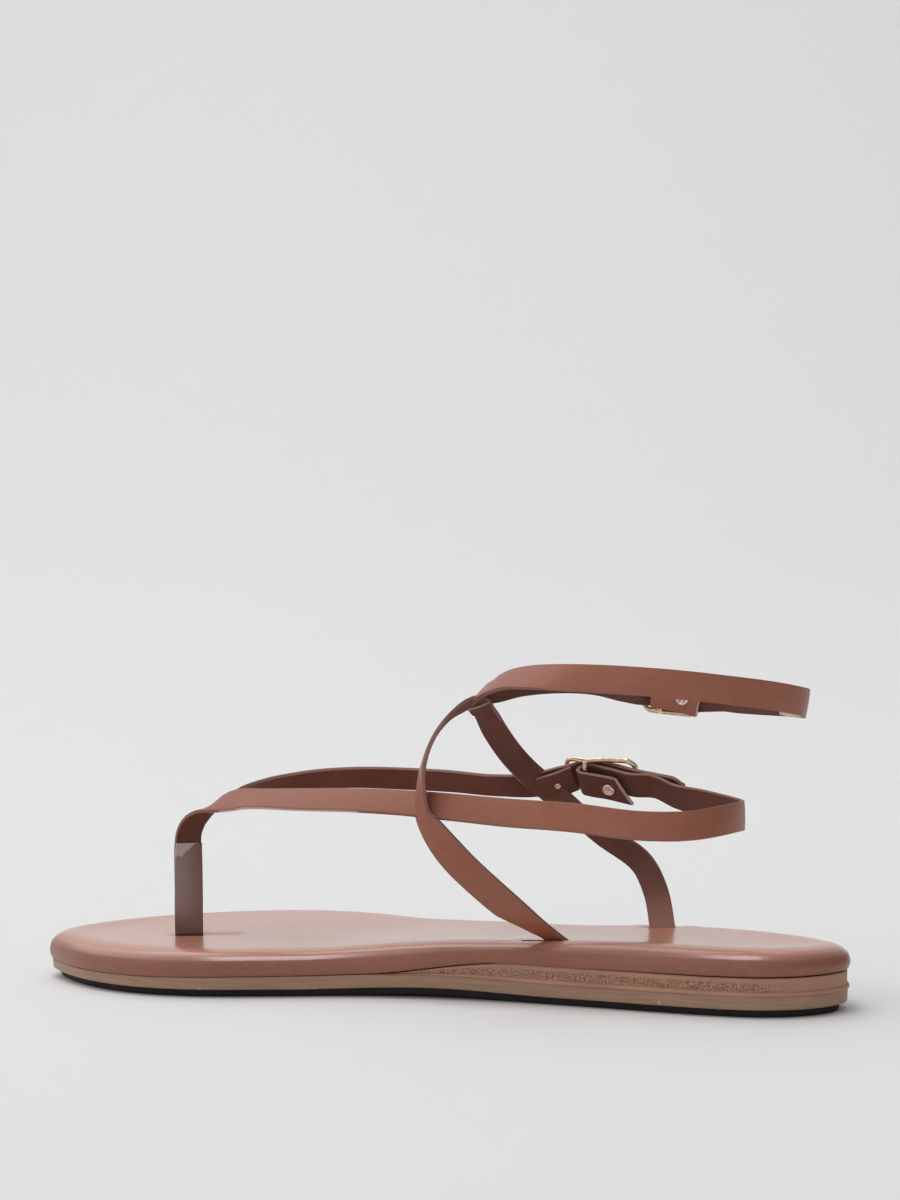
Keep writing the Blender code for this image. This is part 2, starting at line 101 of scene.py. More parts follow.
SEAT_GAPS = (
    # x, open line between the footbed and the layer under it
    (0.0, 0.5),
    (40.0, 0.36),
    (72.0, 0.1),
    (84.0, 0.03),
    (97.0, 0.03),
    (102.0, 0.3),
    (122.0, 0.34),
    (140.0, 0.26),
    (170.0, 0.16),
    (210.0, 0.14),
    (250.0, 0.22),
)
# Edge profiles: margin inside the outline, share of the layer's height (or, below 0, of the foot)
OUTSOLE_EDGE = ((4.6, -1.0), (3.6, -0.93), (3.0, -0.1), (2.6, 0.0), (1.5, 0.02), (1.05, 0.15), (0.95, 0.5),
                (0.86, 0.84), (0.92, 0.97), (1.3, 1.0))
WEDGE_EDGE = ((0.55, 0.0), (0.42, 0.06), (0.5, 0.15), (1.02, 0.23), (1.0, 0.6), (0.95, 0.92), (1.1, 1.0))
FOOTBED_EDGE = ((1.3, 0.0), (0.35, 0.07), (0.0, 0.28), (0.3, 0.5), (1.3, 0.71), (3.0, 0.87),
                (5.4, 0.965), (8.0, 1.0))
# Small swells of the cut edges: height, length
OUTSOLE_SWELLS = ((0.1, 22.0), (0.06, 4.0))
FOOTBED_SWELLS = ((0.16, 16.0),)
SOLE_SMOOTH = 50.0

# Strap sizes
STRAP_WIDTH = 8.4
CROSS_STRAP_WIDTH = 7.6
# Length along the cross strap, then its width there or the share that its lower half keeps
CROSS_STRAP_WIDTHS = ((0.0, 8.8), (45.0, 8.8), (75.0, 7.4))
CROSS_END_TRIM = ((9.0, 0.3), (24.0, 1.0))
# Lengths along the cross strap where its flesh side starts to turn paler and is fully paler: painted bounce
# light from the footbed
CROSS_PAINTED_BOUNCE_RUN = (188.0, 206.0)
ANKLE_STRAP_WIDTH = 8.0
STRAP_THICK = 1.6
LEATHER_THICK = 1.25
STRAP_CROWN = 0.16
STRAP_COLUMNS = 13
STRAP_SWELL = 0.12
STRAP_SWELL_LENGTH = 14.0
STRAP_SMOOTH = 55.0
ROUTE_STEP = 1.0
EDGE_ROUND = 0.26
EDGE_ROUND_SHARE = 0.3
EDGE_ANGLE = 50.0
CUT_FACING = 0.6
TIP_REACH = 17.0
TIP_ROUND = 5.0
TIP_WIDTH = 0.5
SLANT_REACH = 8.0
TAB_SLANT = -5.2
# Length of the heel strap's folded end whose face takes the darker flesh finish
DARK_TAB_LENGTH = 15.5
HOLE_PLACES = (5.5, 11.5)
HOLE_RADIUS = 0.75
HOLE_DEPTH = 2.2
HOLE_SIDES = 24
TAPE_THICK = 0.35
TAPE_WIDTH = 8.5
TAPE_RUN = (4.0, 32.5)
JOINT_TAB_RUN = (1.0, 11.0)
JOINT_TAB_THICK = 0.8
JOINT_TAB_SLANT = 4.5
# Pale strip inside the ankle strap's heel turn: a painted glint
HEEL_GLINT_WIDTH = 1.5
HEEL_GLINT_DROP = 3.1
HEEL_GLINT_THICK = 0.5
# Length of the heel turn's pale strip, a painted glint, before and after the rearmost place
HEEL_GLINT_ENDS = (24.0, 8.0)
# Finishes of a strap's faces, in the order of its material slots
GRAIN_SIDE, FLESH_SIDE, RAW_EDGE, FRESH_CUT = range(4)

# Slits in the footbed
SLIT_CLEARANCE = 0.35
SLIT_BREADTH = STRAP_THICK + SLIT_CLEARANCE
MEDIAL_SLIT_LONGER = 4.8
MEDIAL_SLIT_WIDER = 1.4
SLITS = (
    # x, y, length, breadth, turn
    (197.2, 6.5, 9.7, 0.4, 25.0),
    (205.4, 10.3, STRAP_WIDTH + 2 * SLIT_CLEARANCE, SLIT_BREADTH, 25.0),
    (88.0, 13.6, CROSS_STRAP_WIDTH + MEDIAL_SLIT_LONGER, SLIT_BREADTH + MEDIAL_SLIT_WIDER, 8.0),
    (63.9, -18.8, CROSS_STRAP_WIDTH + 2 * SLIT_CLEARANCE, SLIT_BREADTH, 17.0),
)
SLIT_ROUND = 0.24
SLIT_DIP = 0.5
SLIT_DIP_REACH = 2.0
SLIT_DEPTH = 5.0
LIP_REACH = 6.5
LIP_CUTS = 3
LIP_MARGIN = 6.0
LIP_DEPTH = 1.0

# Strap centre lines: place, then the way the grain side faces as a compass angle and a lean
MAIN_ROWS = (
    # x, y, z, facing (0 toe, 90 medial), lean above level
    (205.4, 10.3, 6.9, -65.0, 0.0),
    (205.4, 10.3, 13.0, -65.0, 0.0),
    (205.3, 10.2, 24.3, -59.0, -3.0),
    (205.4, 10.0, 32.7, -47.0, -3.0),
    (205.4, 9.9, 37.6, -38.0, -2.0),
    (205.0, 9.7, 41.6, -32.0, 6.0),
    (203.5, 9.3, 44.8, -30.0, 28.0),
    (200.4, 9.0, 47.6, -18.0, 46.0),
    (196.6, 8.9, 50.0, 35.0, 60.0),
    (192.1, 9.4, 51.4, 86.0, 54.0),
    (187.1, 10.2, 52.3, 106.0, 48.0),
    (178.8, 13.0, 53.1, 86.0, 55.0),
    (163.0, 17.5, 53.9, 86.0, 50.0),
    (141.0, 22.0, 54.8, 86.0, 45.0),
    (125.7, 24.0, 54.8, 88.0, 42.0),
    (110.8, 25.2, 54.2, 90.0, 36.0),
    (91.8, 26.0, 53.2, 92.0, 30.0),
    (73.6, 25.5, 52.5, 97.0, 25.0),
    (52.2, 22.5, 50.4, 110.0, 22.0),
    (40.9, 17.0, 50.2, 130.0, 12.0),
    (35.0, 9.0, 50.8, 152.0, 4.0),
    (33.2, 1.5, 50.9, 174.0, 0.0),
    (33.9, -7.0, 50.5, -168.0, 0.0),
    (39.4, -15.0, 50.6, -138.0, 8.0),
    (50.2, -20.4, 51.9, -112.0, 18.0),
    (60.6, -23.4, 53.3, -102.0, 27.0),
)
LATERAL_ROWS = (
    (199.0, 8.4, 47.4, 4.0, 52.0),
    (196.4, 6.4, 49.8, 12.0, 60.0),
    (192.0, 1.8, 53.3, -60.0, 68.0),
    (185.2, -5.0, 55.2, -70.0, 56.0),
    (177.9, -11.5, 55.9, -76.0, 47.0),
    (165.5, -18.6, 56.4, -82.0, 40.0),
    (148.3, -23.5, 56.0, -86.0, 37.0),
    (134.2, -25.7, 55.4, -88.0, 36.0),
    (120.0, -27.2, 54.4, -90.0, 38.0),
)
CROSS_ROWS = (
    (82.0, 9.2, 11.6, 88.0, -48.0),
    (86.3, 14.0, 16.4, 90.0, -46.0),
    (89.4, 17.9, 20.0, 95.0, -36.0),
    (92.3, 21.3, 23.6, 100.0, -26.0),
    (100.2, 25.3, 31.5, 103.0, -8.0),
    (109.1, 27.2, 40.2, 96.0, 2.0),
    (115.5, 28.0, 48.1, 78.0, -14.0),
    (117.9, 28.1, 51.5, 57.0, -13.0),
    (118.8, 27.8, 55.4, 45.0, -2.0),
    (119.2, 27.0, 59.1, 38.0, 4.0),
    (119.8, 25.2, 62.4, 32.0, 10.0),
    (119.9, 20.4, 69.4, 25.0, 19.0),
    (118.3, 14.2, 76.2, 20.0, 36.0),
    (115.4, 8.0, 80.7, 8.0, 46.0),
    (113.0, 1.5, 82.0, -66.0, 47.0),
    (113.0, -5.0, 78.8, -87.0, 9.0),
    (112.6, -11.0, 72.8, -74.0, 2.0),
    (110.8, -17.5, 65.7, -65.0, -3.0),
    (107.7, -22.7, 59.7, -59.0, -9.0),
    (104.0, -26.0, 55.2, -76.0, 2.0),
    (98.4, -27.4, 50.4, -92.0, 10.0),
    (86.4, -28.0, 41.0, -98.0, 14.0),
    (72.6, -27.4, 32.0, -94.0, -6.0),
    (67.6, -24.2, 24.8, -86.0, -24.0),
    (64.0, -19.2, 16.8, -75.0, -34.0),
    (62.0, -15.8, 11.4, -73.0, -34.0),
)
ANKLE_BACK_ROWS = (
    (40.0, -23.2, 82.1, -106.0, 2.0),
    (24.0, -17.5, 82.0, -130.0, -2.0),
    (15.2, -8.5, 82.6, -156.0, -9.0),
    (13.2, 0.0, 84.0, 180.0, -11.0),
    (16.2, 9.0, 86.0, 154.0, -9.0),
    (26.0, 18.0, 88.3, 128.0, -4.0),
    (38.0, 22.9, 90.0, 108.0, 0.0),
    (50.7, 24.6, 91.0, 115.0, 11.0),
    (64.4, 24.0, 91.5, 115.0, 19.0),
    (77.4, 21.9, 91.6, 115.0, 27.0),
    (88.3, 18.0, 91.2, 114.0, 34.0),
    (97.1, 13.6, 90.1, 107.0, 43.0),
    (103.0, 9.6, 88.3, 89.0, 50.0),
    (107.9, 5.4, 86.1, 55.0, 54.0),
    (111.7, 1.0, 84.2, 15.0, 42.0),
    (109.4, -4.6, 84.8, -46.0, 34.0),
    (104.0, -10.6, 86.6, -52.0, 22.0),
    (95.0, -16.4, 87.5, -62.0, 8.0),
    (84.0, -22.0, 86.6, -72.0, 2.0),
)

# Buckles: bar centre, strap direction, outward direction, reach before and behind the bar,
# slope of the billet's tip, the billet's last place before the frame (further along, out, across),
# lift of the straps across the frame behind it, and the folded tab's length as a share of the rear reach
BUCKLES = {
    "instep": dict(bar=(90.0, -27.1, 56.9), run=(1.0, 0.0, 0.02), face=(0.0, -0.85, 0.53),
                   front=7.0, rear=15.0, tip_turn=0.2, lead=(9.0, -0.9, -2.0), lift=0.0, tab=0.86),
    "ankle": dict(bar=(66.0, -25.8, 83.05), run=(0.99, 0.05, 0.10), face=(0.0, -1.0, 0.0),
                  front=5.8, rear=11.4, tip_turn=0.12, lead=(5.0, -0.7, 0.5), lift=1.1, tab=1.16),
}
BILLET_ROWS = (
    # share of the frame's reach (front positive, rear negative), distance out from the bar
    (1.0, 0.65),
    (0.5, 2.5),
    (0.0, 4.1),
    (-0.5, 3.0),
    (-1.0, 0.95),
)
# Fold on its way to the bar: share of the frame's reach, distance out from the bar
FOLD_OUTSIDE = ((-1.0, -1.25), (-0.5, 0.8))
FOLD_INSIDE = (
    # share of the tab's length, distance out from the bar, shift across the strap
    (-0.5, -2.7, -0.3),
    (-1.0, -3.5, -1.0),
)
# Keeper tab: distance along from the bar, out from it and across the strap
KEEPER_ROWS = ((4.2, 0.6, 0.0), (8.8, -2.2, -0.7), (14.0, -3.4, -2.0))
FOLD_GAP = 0.35
FOLD_LEAD = 6.0
FOLD_STEPS = 6
BUCKLE_ROD = 0.8
BUCKLE_HALF_WIDTH = 5.4
BUCKLE_CORNER = 3.0
BUCKLE_LEVEL = 3.2
BUCKLE_DIP = 0.9
BUCKLE_DIP_REACH = 4.0
BAR_BEND = 6
BAR_STEPS = 33
BUCKLE_SIDE_STEPS = 26
CORNER_STEPS = 10
ROD_SIDES = 20
PRONG_ROD = 0.65
PRONG_TIP = 0.4
PRONG_TAPER = 0.7
PRONG_STEPS = 8
# Prong's root: distance along from the bar, out from it
PRONG_ROOT = ((-0.4, 2.6), (-0.9, 4.4))
PRONG_BEND = -2.2
PRONG_BOW = 0.2
PRONG_LIFT = 0.15
PRONG_NEAR_END = 0.85
PRONG_DROP = 0.3
PRONG_PAST_FRAME = 1.4
RIVET_PROFILE = (
    # radius, height above the leather
    (0.0, 0.1),
    (0.6, 0.12),
    (0.85, 0.3),
    (1.15, 0.72),
    (1.5, 0.78),
    (1.85, 0.5),
    (2.0, 0.0),
    (1.95, -0.4),
    (0.0, -0.4),
)
RIVET_STEPS = 3
RIVET_SIDES = 28
RIVET_SMOOTH = 60.0
RIVET_BACK = 1.6
RIVET_SEAT = 0.3
# Keeper rivet: shares of the rivet's radius and height
KEEPER_RIVET = (0.5, 0.6)

# Camera of the photograph, in the part's frame
CAMERA_PLACE = (-0.4166, 0.8964, 0.1686)
CAMERA_HEADING = math.radians(24.80009)
CAMERA_DIP = math.radians(3.29882)
CAMERA_ROLL = math.radians(-1.145)
CAMERA_LENS = 101.007

# Studio, in metres along away from the camera, to its left and up
LIGHTS = (
    # name, place, target, size, power
    ("back softbox", (1.2, 1.6, 2.2), (0.0, 0.0, 0.0), 2.2, 13.0),
    ("top softbox", (-0.1, 0.25, 1.7), (0.0, 0.0, 0.0), 0.5, 5.5),
    ("wall wash", (2.4, 0.3, 3.2), (4.0, 0.0, 0.8), 2.0, 22.0),
)
AIR_SLOPE = (0.02, 0.3, 0.2)
AIR_LEVEL = 0.43
AIR_LEAST = 0.05
PAPER = (0.87, 0.87, 0.873)
SWEEP_FLOOR = (-8.0, -1.0, 0.6, 2.2)
SWEEP_BEND = 1.5
SWEEP_BEND_STEPS = 24
SWEEP_TOP = 5.0
SWEEP_SIDES = (-4.0, 4.0)
SWEEP_SMOOTH = 80.0

Route = namedtuple("Route", "spots normals across lengths")


# Curves and sole heights
def smoothstep(value, low, high):
    share = np.clip((value - low) / (high - low), 0.0, 1.0)
    return share * share * (3.0 - 2.0 * share)


def catmull_rom(points, steps, closed=False):
    """Points on a smooth curve through the given rows, with a step count for each span."""
    rows = np.array(points, dtype=float)
    count = len(rows)
    out = []
    for i in range(count if closed else count - 1):
        if closed:
            p0, p1, p2, p3 = (rows[(i + k) % count] for k in (-1, 0, 1, 2))
        else:
            p1, p2 = rows[i], rows[i + 1]
            p0 = rows[i - 1] if i > 0 else 2.0 * p1 - p2
            p3 = rows[i + 2] if i + 2 < count else 2.0 * p2 - p1
        pairs = ((p0, p1), (p1, p2), (p2, p3))
        d01, d12, d23 = (max(1e-6, np.linalg.norm((b - a)[:3])) for a, b in pairs)
        m1 = (p2 - p1) + d12 * ((p1 - p0) / d01 - (p2 - p0) / (d01 + d12))
        m2 = (p2 - p1) + d12 * ((p3 - p2) / d23 - (p3 - p1) / (d12 + d23))
        number = steps(d12)
        for k in range(number):
            t = k / number
            out.append((2 * t**3 - 3 * t**2 + 1) * p1 + (t**3 - 2 * t**2 + t) * m1
                       + (3 * t**2 - 2 * t**3) * p2 + (t**3 - t**2) * m2)
    if not closed:
        out.append(rows[-1])
    return np.array(out)


def sole_outline():
    """Closed outline, heel tip first, then the medial side, the toe tip and the lateral side."""
    medial = [(x, inner) for x, inner, _ in SOLE_ROWS]
    lateral = [(x, -outer) for x, _, outer in reversed(SOLE_ROWS)]
    rows = [(0.0, HEEL_TIP)] + medial + [(LENGTH, TOE_TIP)] + lateral
    return catmull_rom(rows, lambda span: OUTLINE_STEPS, closed=True)


OUTLINE = sole_outline()
MIDDLE_Y = 0.5 * (OUTLINE[:, 1].min() + OUTLINE[:, 1].max())
TABLE_ORIGIN = np.array((0.5 * LENGTH, MIDDLE_Y, -SOLE_FOOT))


def place(spots):
    """Table millimetres to the part's metres, for one place or an array of them."""
    return (np.asarray(spots, dtype=float) - TABLE_ORIGIN) * MM


def floor_height(x):
    """Underside of the sole: flat heel and forefoot, a lifted arch and a little toe spring."""
    start, end = FOREFOOT_FLAT
    middle = 0.5 * (HEEL_FLAT_TO + start)
    arch = ARCH_LIFT * smoothstep(x, HEEL_FLAT_TO, middle) * (1.0 - smoothstep(x, middle, start))
    reach_share = np.maximum(0.0, x - end) / (LENGTH - end)
    return arch + TOE_SPRING * reach_share**2


def outsole_top(x):
    return floor_height(x) + OUTSOLE - TOE_SKIVE * smoothstep(x, *TOE_SKIVE_RUN)


def wedge_rise(x):
    return WEDGE_RISE * (1.0 - smoothstep(x, *WEDGE_SLOPE))


def footbed_bottom(x):
    gap = np.interp(x, *zip(*SEAT_GAPS))
    return outsole_top(x) + wedge_rise(x) + gap


def footbed_top(x, y):
    """Top of the footbed before its dish: it falls more gently to the ball than the wedge does."""
    tilt = np.clip(y / HEEL_HALF_BREADTH, -1.0, 1.0)
    lift = MEDIAL_LIFT * tilt * (1.0 - smoothstep(x, *MEDIAL_LIFT_FADES))
    rise = BED_RISE * (1.0 - smoothstep(x, *BED_SLOPE))
    return floor_height(x) + OUTSOLE + SEAT_GAP + rise + FOOTBED + lift


def outline_inset(margin):
    """The outline drawn in by a margin, which may differ from point to point."""
    step = np.roll(OUTLINE, -1, axis=0) - np.roll(OUTLINE, 1, axis=0)
    step /= np.linalg.norm(step, axis=1)[:, None]
    return OUTLINE + np.reshape(margin, (-1, 1)) * np.c_[step[:, 1], -step[:, 0]]


def lengths_along(spots):
    """Length along a row of places, up to each of them."""
    return np.r_[0.0, np.cumsum(np.linalg.norm(np.diff(spots, axis=0), axis=1))]


def soft_noise(spots, size):
    """Smooth noise from -1 to 1 at each place, with bumps of about that size in millimetres."""
    return np.array([noise.noise(Vector(spot) / size) for spot in np.atleast_2d(spots)])


def edge_swell(swells):
    """How far the small swells of a cut edge push out each point of the outline."""
    flat = np.c_[OUTLINE, np.zeros(len(OUTLINE))]
    return sum(height * soft_noise(flat, length) for height, length in swells)


# Modelling by hand in code
def active(piece):
    bpy.ops.object.select_all(action="DESELECT")
    piece.select_set(True)
    bpy.context.view_layer.objects.active = piece


def shaped_grid(name, points, across, along):
    """A grid primitive bent to rows and columns of places, with its own UV map.

    across holds the U of each column and along the V of each row.
    """
    rows, columns = points.shape[:2]
    bpy.ops.object.select_all(action="DESELECT")
    bpy.ops.mesh.primitive_grid_add(x_subdivisions=columns - 1, y_subdivisions=rows - 1, size=1.0)
    piece = bpy.context.object
    piece.name = piece.data.name = name
    mesh = piece.data
    flat = np.empty(3 * len(mesh.vertices))
    mesh.vertices.foreach_get("co", flat)
    flat = flat.reshape(-1, 3)
    column = np.rint((flat[:, 0] + 0.5) * (columns - 1)).astype(int)
    row = np.rint((flat[:, 1] + 0.5) * (rows - 1)).astype(int)
    mesh.vertices.foreach_set("co", place(points)[row, column].ravel())
    corner = np.empty(len(mesh.loops), dtype=int)
    mesh.loops.foreach_get("vertex_index", corner)
    uv = np.c_[np.asarray(across)[column[corner]], np.asarray(along)[row[corner]]]
    mesh.uv_layers.active.data.foreach_set("uv", uv.ravel())
    mesh.update()
    return piece


def close_seams(piece):
    """Merges the meeting edges of a wrapped grid and turns its faces outwards."""
    active(piece)
    bpy.ops.object.mode_set(mode="EDIT")
    bpy.ops.mesh.select_all(action="SELECT")
    bpy.ops.mesh.remove_doubles(threshold=1e-6)
    bpy.ops.mesh.normals_make_consistent(inside=False)
    bpy.ops.object.mode_set(mode="OBJECT")
    return piece


def add_modifier(piece, kind, **settings):
    """Adds a modifier with these settings and applies it."""
    active(piece)
    modifier = piece.modifiers.new(kind.lower(), kind)
    for key, value in settings.items():
        setattr(modifier, key, value)
    bpy.ops.object.modifier_apply(modifier=modifier.name)


def smooth(piece, angle=40.0):
    active(piece)
    bpy.ops.object.shade_smooth_by_angle(angle=math.radians(angle))


def cut(piece, cutters):
    """Cuts the shapes out of the piece and removes them."""
    for cutter in cutters:
        add_modifier(piece, "BOOLEAN", operation="DIFFERENCE", solver="EXACT", object=cutter)
        bpy.data.objects.remove(cutter, do_unlink=True)


def settle(piece, slot, *nodes):
    """The piece rides with the sandal and stands for the nodes. Its slot is not used."""
    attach(piece, "root")
    if nodes:
        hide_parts(*nodes)
    return piece


# Finishes
def new_finish(name, roughness, **sockets):
    """A material with its shader's constant sockets set, and its tree and shader."""
    material = bpy.data.materials.new(name)
    material.use_nodes = True
    tree = material.node_tree
    shader = tree.nodes["Principled BSDF"]
    shader.inputs["Roughness"].default_value = roughness
    for key, value in sockets.items():
        shader.inputs[key.replace("_", " ").title().replace("Ior", "IOR")].default_value = value
    return material, tree, shader


def texture(tree, kind, coords, output, **sockets):
    """A texture node on the coordinates. A value that is a word sets the node's own option."""
    item = tree.nodes.new("ShaderNodeTex" + kind)
    tree.links.new(coords, item.inputs["Vector"])
    for key, value in sockets.items():
        if isinstance(value, str):
            setattr(item, key, value)
        else:
            item.inputs[key.title()].default_value = value
    return item.outputs[output]


def clouds(tree, coords, scale, detail, roughness=0.5):
    """Soft noise on the coordinates."""
    return texture(tree, "Noise", coords, "Fac", scale=scale, detail=detail, roughness=roughness)


def stretched(tree, coords, scale):
    item = tree.nodes.new("ShaderNodeMapping")
    tree.links.new(coords, item.inputs["Vector"])
    item.inputs["Scale"].default_value = scale
    return item.outputs["Vector"]


def object_coords(tree):
    return tree.nodes.new("ShaderNodeTexCoord").outputs["Object"]


def uv_parts(tree):
    """The piece's own U and V."""
    split = tree.nodes.new("ShaderNodeSeparateXYZ")
    tree.links.new(tree.nodes.new("ShaderNodeTexCoord").outputs["UV"], split.inputs["Vector"])
    return split.outputs["X"], split.outputs["Y"]


def math_node(tree, operation, *values):
    item = tree.nodes.new("ShaderNodeMath")
    item.operation = operation
    for socket, value in zip(item.inputs, values):
        if isinstance(value, (int, float)):
            socket.default_value = value
        else:
            tree.links.new(value, socket)
    return item.outputs[0]


def shared_tone(tree, first, share, second):
    """Sum of two sockets, the first by its share and the second by the rest."""
    return math_node(tree, "ADD", math_node(tree, "MULTIPLY", first, share),
                     math_node(tree, "MULTIPLY", second, 1.0 - share))


def between(tree, value, low, high, out_low=0.0, out_high=1.0):
    """Smooth map of a value from one range to another."""
    item = tree.nodes.new("ShaderNodeMapRange")
    item.interpolation_type = "SMOOTHSTEP"
    tree.links.new(value, item.inputs["Value"])
    limits = {"From Min": low, "From Max": high, "To Min": out_low, "To Max": out_high}
    for key, number in limits.items():
        item.inputs[key].default_value = number
    return item.outputs["Result"]


def blend_colours(tree, share, first, second):
    """Mix of two colours, each a socket or an RGB triple, by a share socket."""
    item = tree.nodes.new("ShaderNodeMix")
    item.data_type = "RGBA"
    tree.links.new(share, item.inputs["Factor"])
    for socket, value in zip((item.inputs[6], item.inputs[7]), (first, second)):
        if isinstance(value, tuple):
            socket.default_value = (*value, 1.0)
        else:
            tree.links.new(value, socket)
    return item.outputs[2]


def fade(tree, value, low, high, first, second):
    """One colour turning into the other while a value goes from low to high."""
    return blend_colours(tree, between(tree, value, low, high), first, second)


def dress(tree, shader, colour, layers):
    """Links the colour, and bump nodes chained from (height socket, depth in metres) layers."""
    tree.links.new(colour, shader.inputs["Base Color"])
    normal = None
    for height, depth in layers:
        item = tree.nodes.new("ShaderNodeBump")
        item.inputs["Distance"].default_value = depth
        tree.links.new(height, item.inputs["Height"])
        if normal is not None:
            tree.links.new(normal, item.inputs["Normal"])
        normal = item.outputs["Normal"]
    tree.links.new(normal, shader.inputs["Normal"])


def grain_leather(name, deep, light, roughness, upper=None, **sockets):
    """Smooth dyed leather: fine pebbled grain, slow tone drift and a satin top coat.

    upper gives the stronger coat of a sole layer's upper side and its lighter colour there, which is painted
    sheen of the grazing light.
    """
    material, tree, shader = new_finish(name, roughness, coat_roughness=0.2, **sockets)
    coords = object_coords(tree)
    drift = clouds(tree, coords, 26.0, 3.0, 0.55)
    mottle = clouds(tree, coords, 520.0, 4.0, 0.6)
    tone = shared_tone(tree, drift, 0.6, mottle)
    colour = fade(tree, tone, 0.3, 0.7, deep, light)
    if upper:
        # Lighter colour on the upper side: painted sheen. The stronger coat is real.
        _, rise = uv_parts(tree)
        colour = fade(tree, rise, 0.6, 1.0, colour, upper[0])
        coat = between(tree, rise, 0.45, 0.8, sockets["coat_weight"], upper[1])
        tree.links.new(coat, shader.inputs["Coat Weight"])
    polish = between(tree, drift, 0.25, 0.75, roughness - 0.05, roughness + 0.05)
    tree.links.new(polish, shader.inputs["Roughness"])
    pebble = texture(tree, "Voronoi", coords, "Distance", scale=1700.0, feature="SMOOTH_F1")
    pores = clouds(tree, coords, 3600.0, 2.0)
    dress(tree, shader, colour, ((drift, 0.0004), (pebble, 0.00006), (pores, 0.00003)))
    return material


def flesh_leather(name, deep, light, painted_bounce=None):
    """Inner side of the straps: darker, matt and faintly fibrous along the strap.

    The last argument gives a paler colour near the strap's end, painted bounce light from the footbed, with
    the lengths where it starts and is full.
    """
    material, tree, shader = new_finish(name, 0.72, specular_ior_level=0.25)
    coords = tree.nodes.new("ShaderNodeTexCoord").outputs["UV"]
    fibres = clouds(tree, stretched(tree, coords, (2400.0, 500.0, 1.0)), 1.0, 3.0)
    drift = clouds(tree, object_coords(tree), 60.0, 3.0)
    tone = shared_tone(tree, drift, 0.65, fibres)
    colour = fade(tree, tone, 0.3, 0.7, deep, light)
    # Paler towards the strap's end: painted bounce light from the footbed.
    if painted_bounce:
        _, length = uv_parts(tree)
        colour = fade(tree, length, painted_bounce[1] * MM, painted_bounce[2] * MM, colour, painted_bounce[0])
    dress(tree, shader, colour, ((fibres, 0.00006),))
    return material


def raw_edge(name, deep, light):
    """Cut leather edge, pale and a little fuzzy."""
    material, tree, shader = new_finish(name, 0.6)
    coords = object_coords(tree)
    fibres = clouds(tree, coords, 1300.0, 4.0, 0.65)
    drift = clouds(tree, coords, 90.0, 2.0)
    tone = shared_tone(tree, fibres, 0.5, drift)
    colour = fade(tree, tone, 0.32, 0.68, deep, light)
    dress(tree, shader, colour, ((fibres, 0.0001),))
    return material


def liner_tape(name):
    """Satin facing on the toe post: grey at one edge, brown at the other, torn pale at its top."""
    material, tree, shader = new_finish(name, 0.36, coat_weight=0.2, coat_roughness=0.3)
    u, v = uv_parts(tree)
    width, top = TAPE_WIDTH * MM, TAPE_RUN[1] * MM
    coords = object_coords(tree)
    speck = clouds(tree, coords, 1500.0, 2.0)
    drift = clouds(tree, coords, 190.0, 4.0)
    satin = fade(tree, u, 0.0, width, (0.2, 0.108, 0.083), (0.305, 0.215, 0.208))
    base = fade(tree, v, 0.005, 0.014, (0.175, 0.1, 0.08), satin)
    edge = math_node(tree, "MULTIPLY", math_node(tree, "SUBTRACT", width, u), 150.0)
    drop = math_node(tree, "MULTIPLY", math_node(tree, "SUBTRACT", top, v), 140.0)
    corner = math_node(tree, "ADD", math_node(tree, "ADD", edge, drop),
                       math_node(tree, "MULTIPLY", drift, 2.4))
    colour = fade(tree, corner, 2.05, 2.2, (0.52, 0.44, 0.44), base)
    dress(tree, shader, colour, ((speck, 0.00002), (drift, 0.00008)))
    return material


def sole_edge(name, deep, light):
    """Outsole leather: layered streaks along its cut edge, and pale chips."""
    material, tree, shader = new_finish(name, 0.5, coat_weight=0.1, coat_roughness=0.35)
    coords = object_coords(tree)
    streaks = clouds(tree, stretched(tree, coords, (70.0, 70.0, 1500.0)), 1.0, 5.0, 0.6)
    fibres = clouds(tree, coords, 1500.0, 3.0)
    chips = texture(tree, "Voronoi", coords, "Distance", scale=140.0, feature="F1")
    tone = shared_tone(tree, streaks, 0.7, fibres)
    colour = fade(tree, tone, 0.32, 0.7, deep, light)
    colour = blend_colours(tree, between(tree, chips, 0.05, 0.08, 1.0, 0.0), colour, (0.6, 0.47, 0.39))
    dress(tree, shader, colour, ((streaks, 0.00018), (fibres, 0.00008)))
    return material


def shadow_foot_finish(name):
    """Near-black foot under the outsole, painted as the contact shadow, with a fine matt pebble."""
    material, tree, shader = new_finish(name, 0.7, specular_ior_level=0.3)
    coords = object_coords(tree)
    pebble = texture(tree, "Voronoi", coords, "Distance", scale=650.0, feature="SMOOTH_F1")
    # Near-black colour: painted contact shadow.
    colour = blend_colours(tree, pebble, (0.016, 0.015, 0.015), (0.026, 0.024, 0.023))
    dress(tree, shader, colour, ((pebble, 0.0003),))
    return material


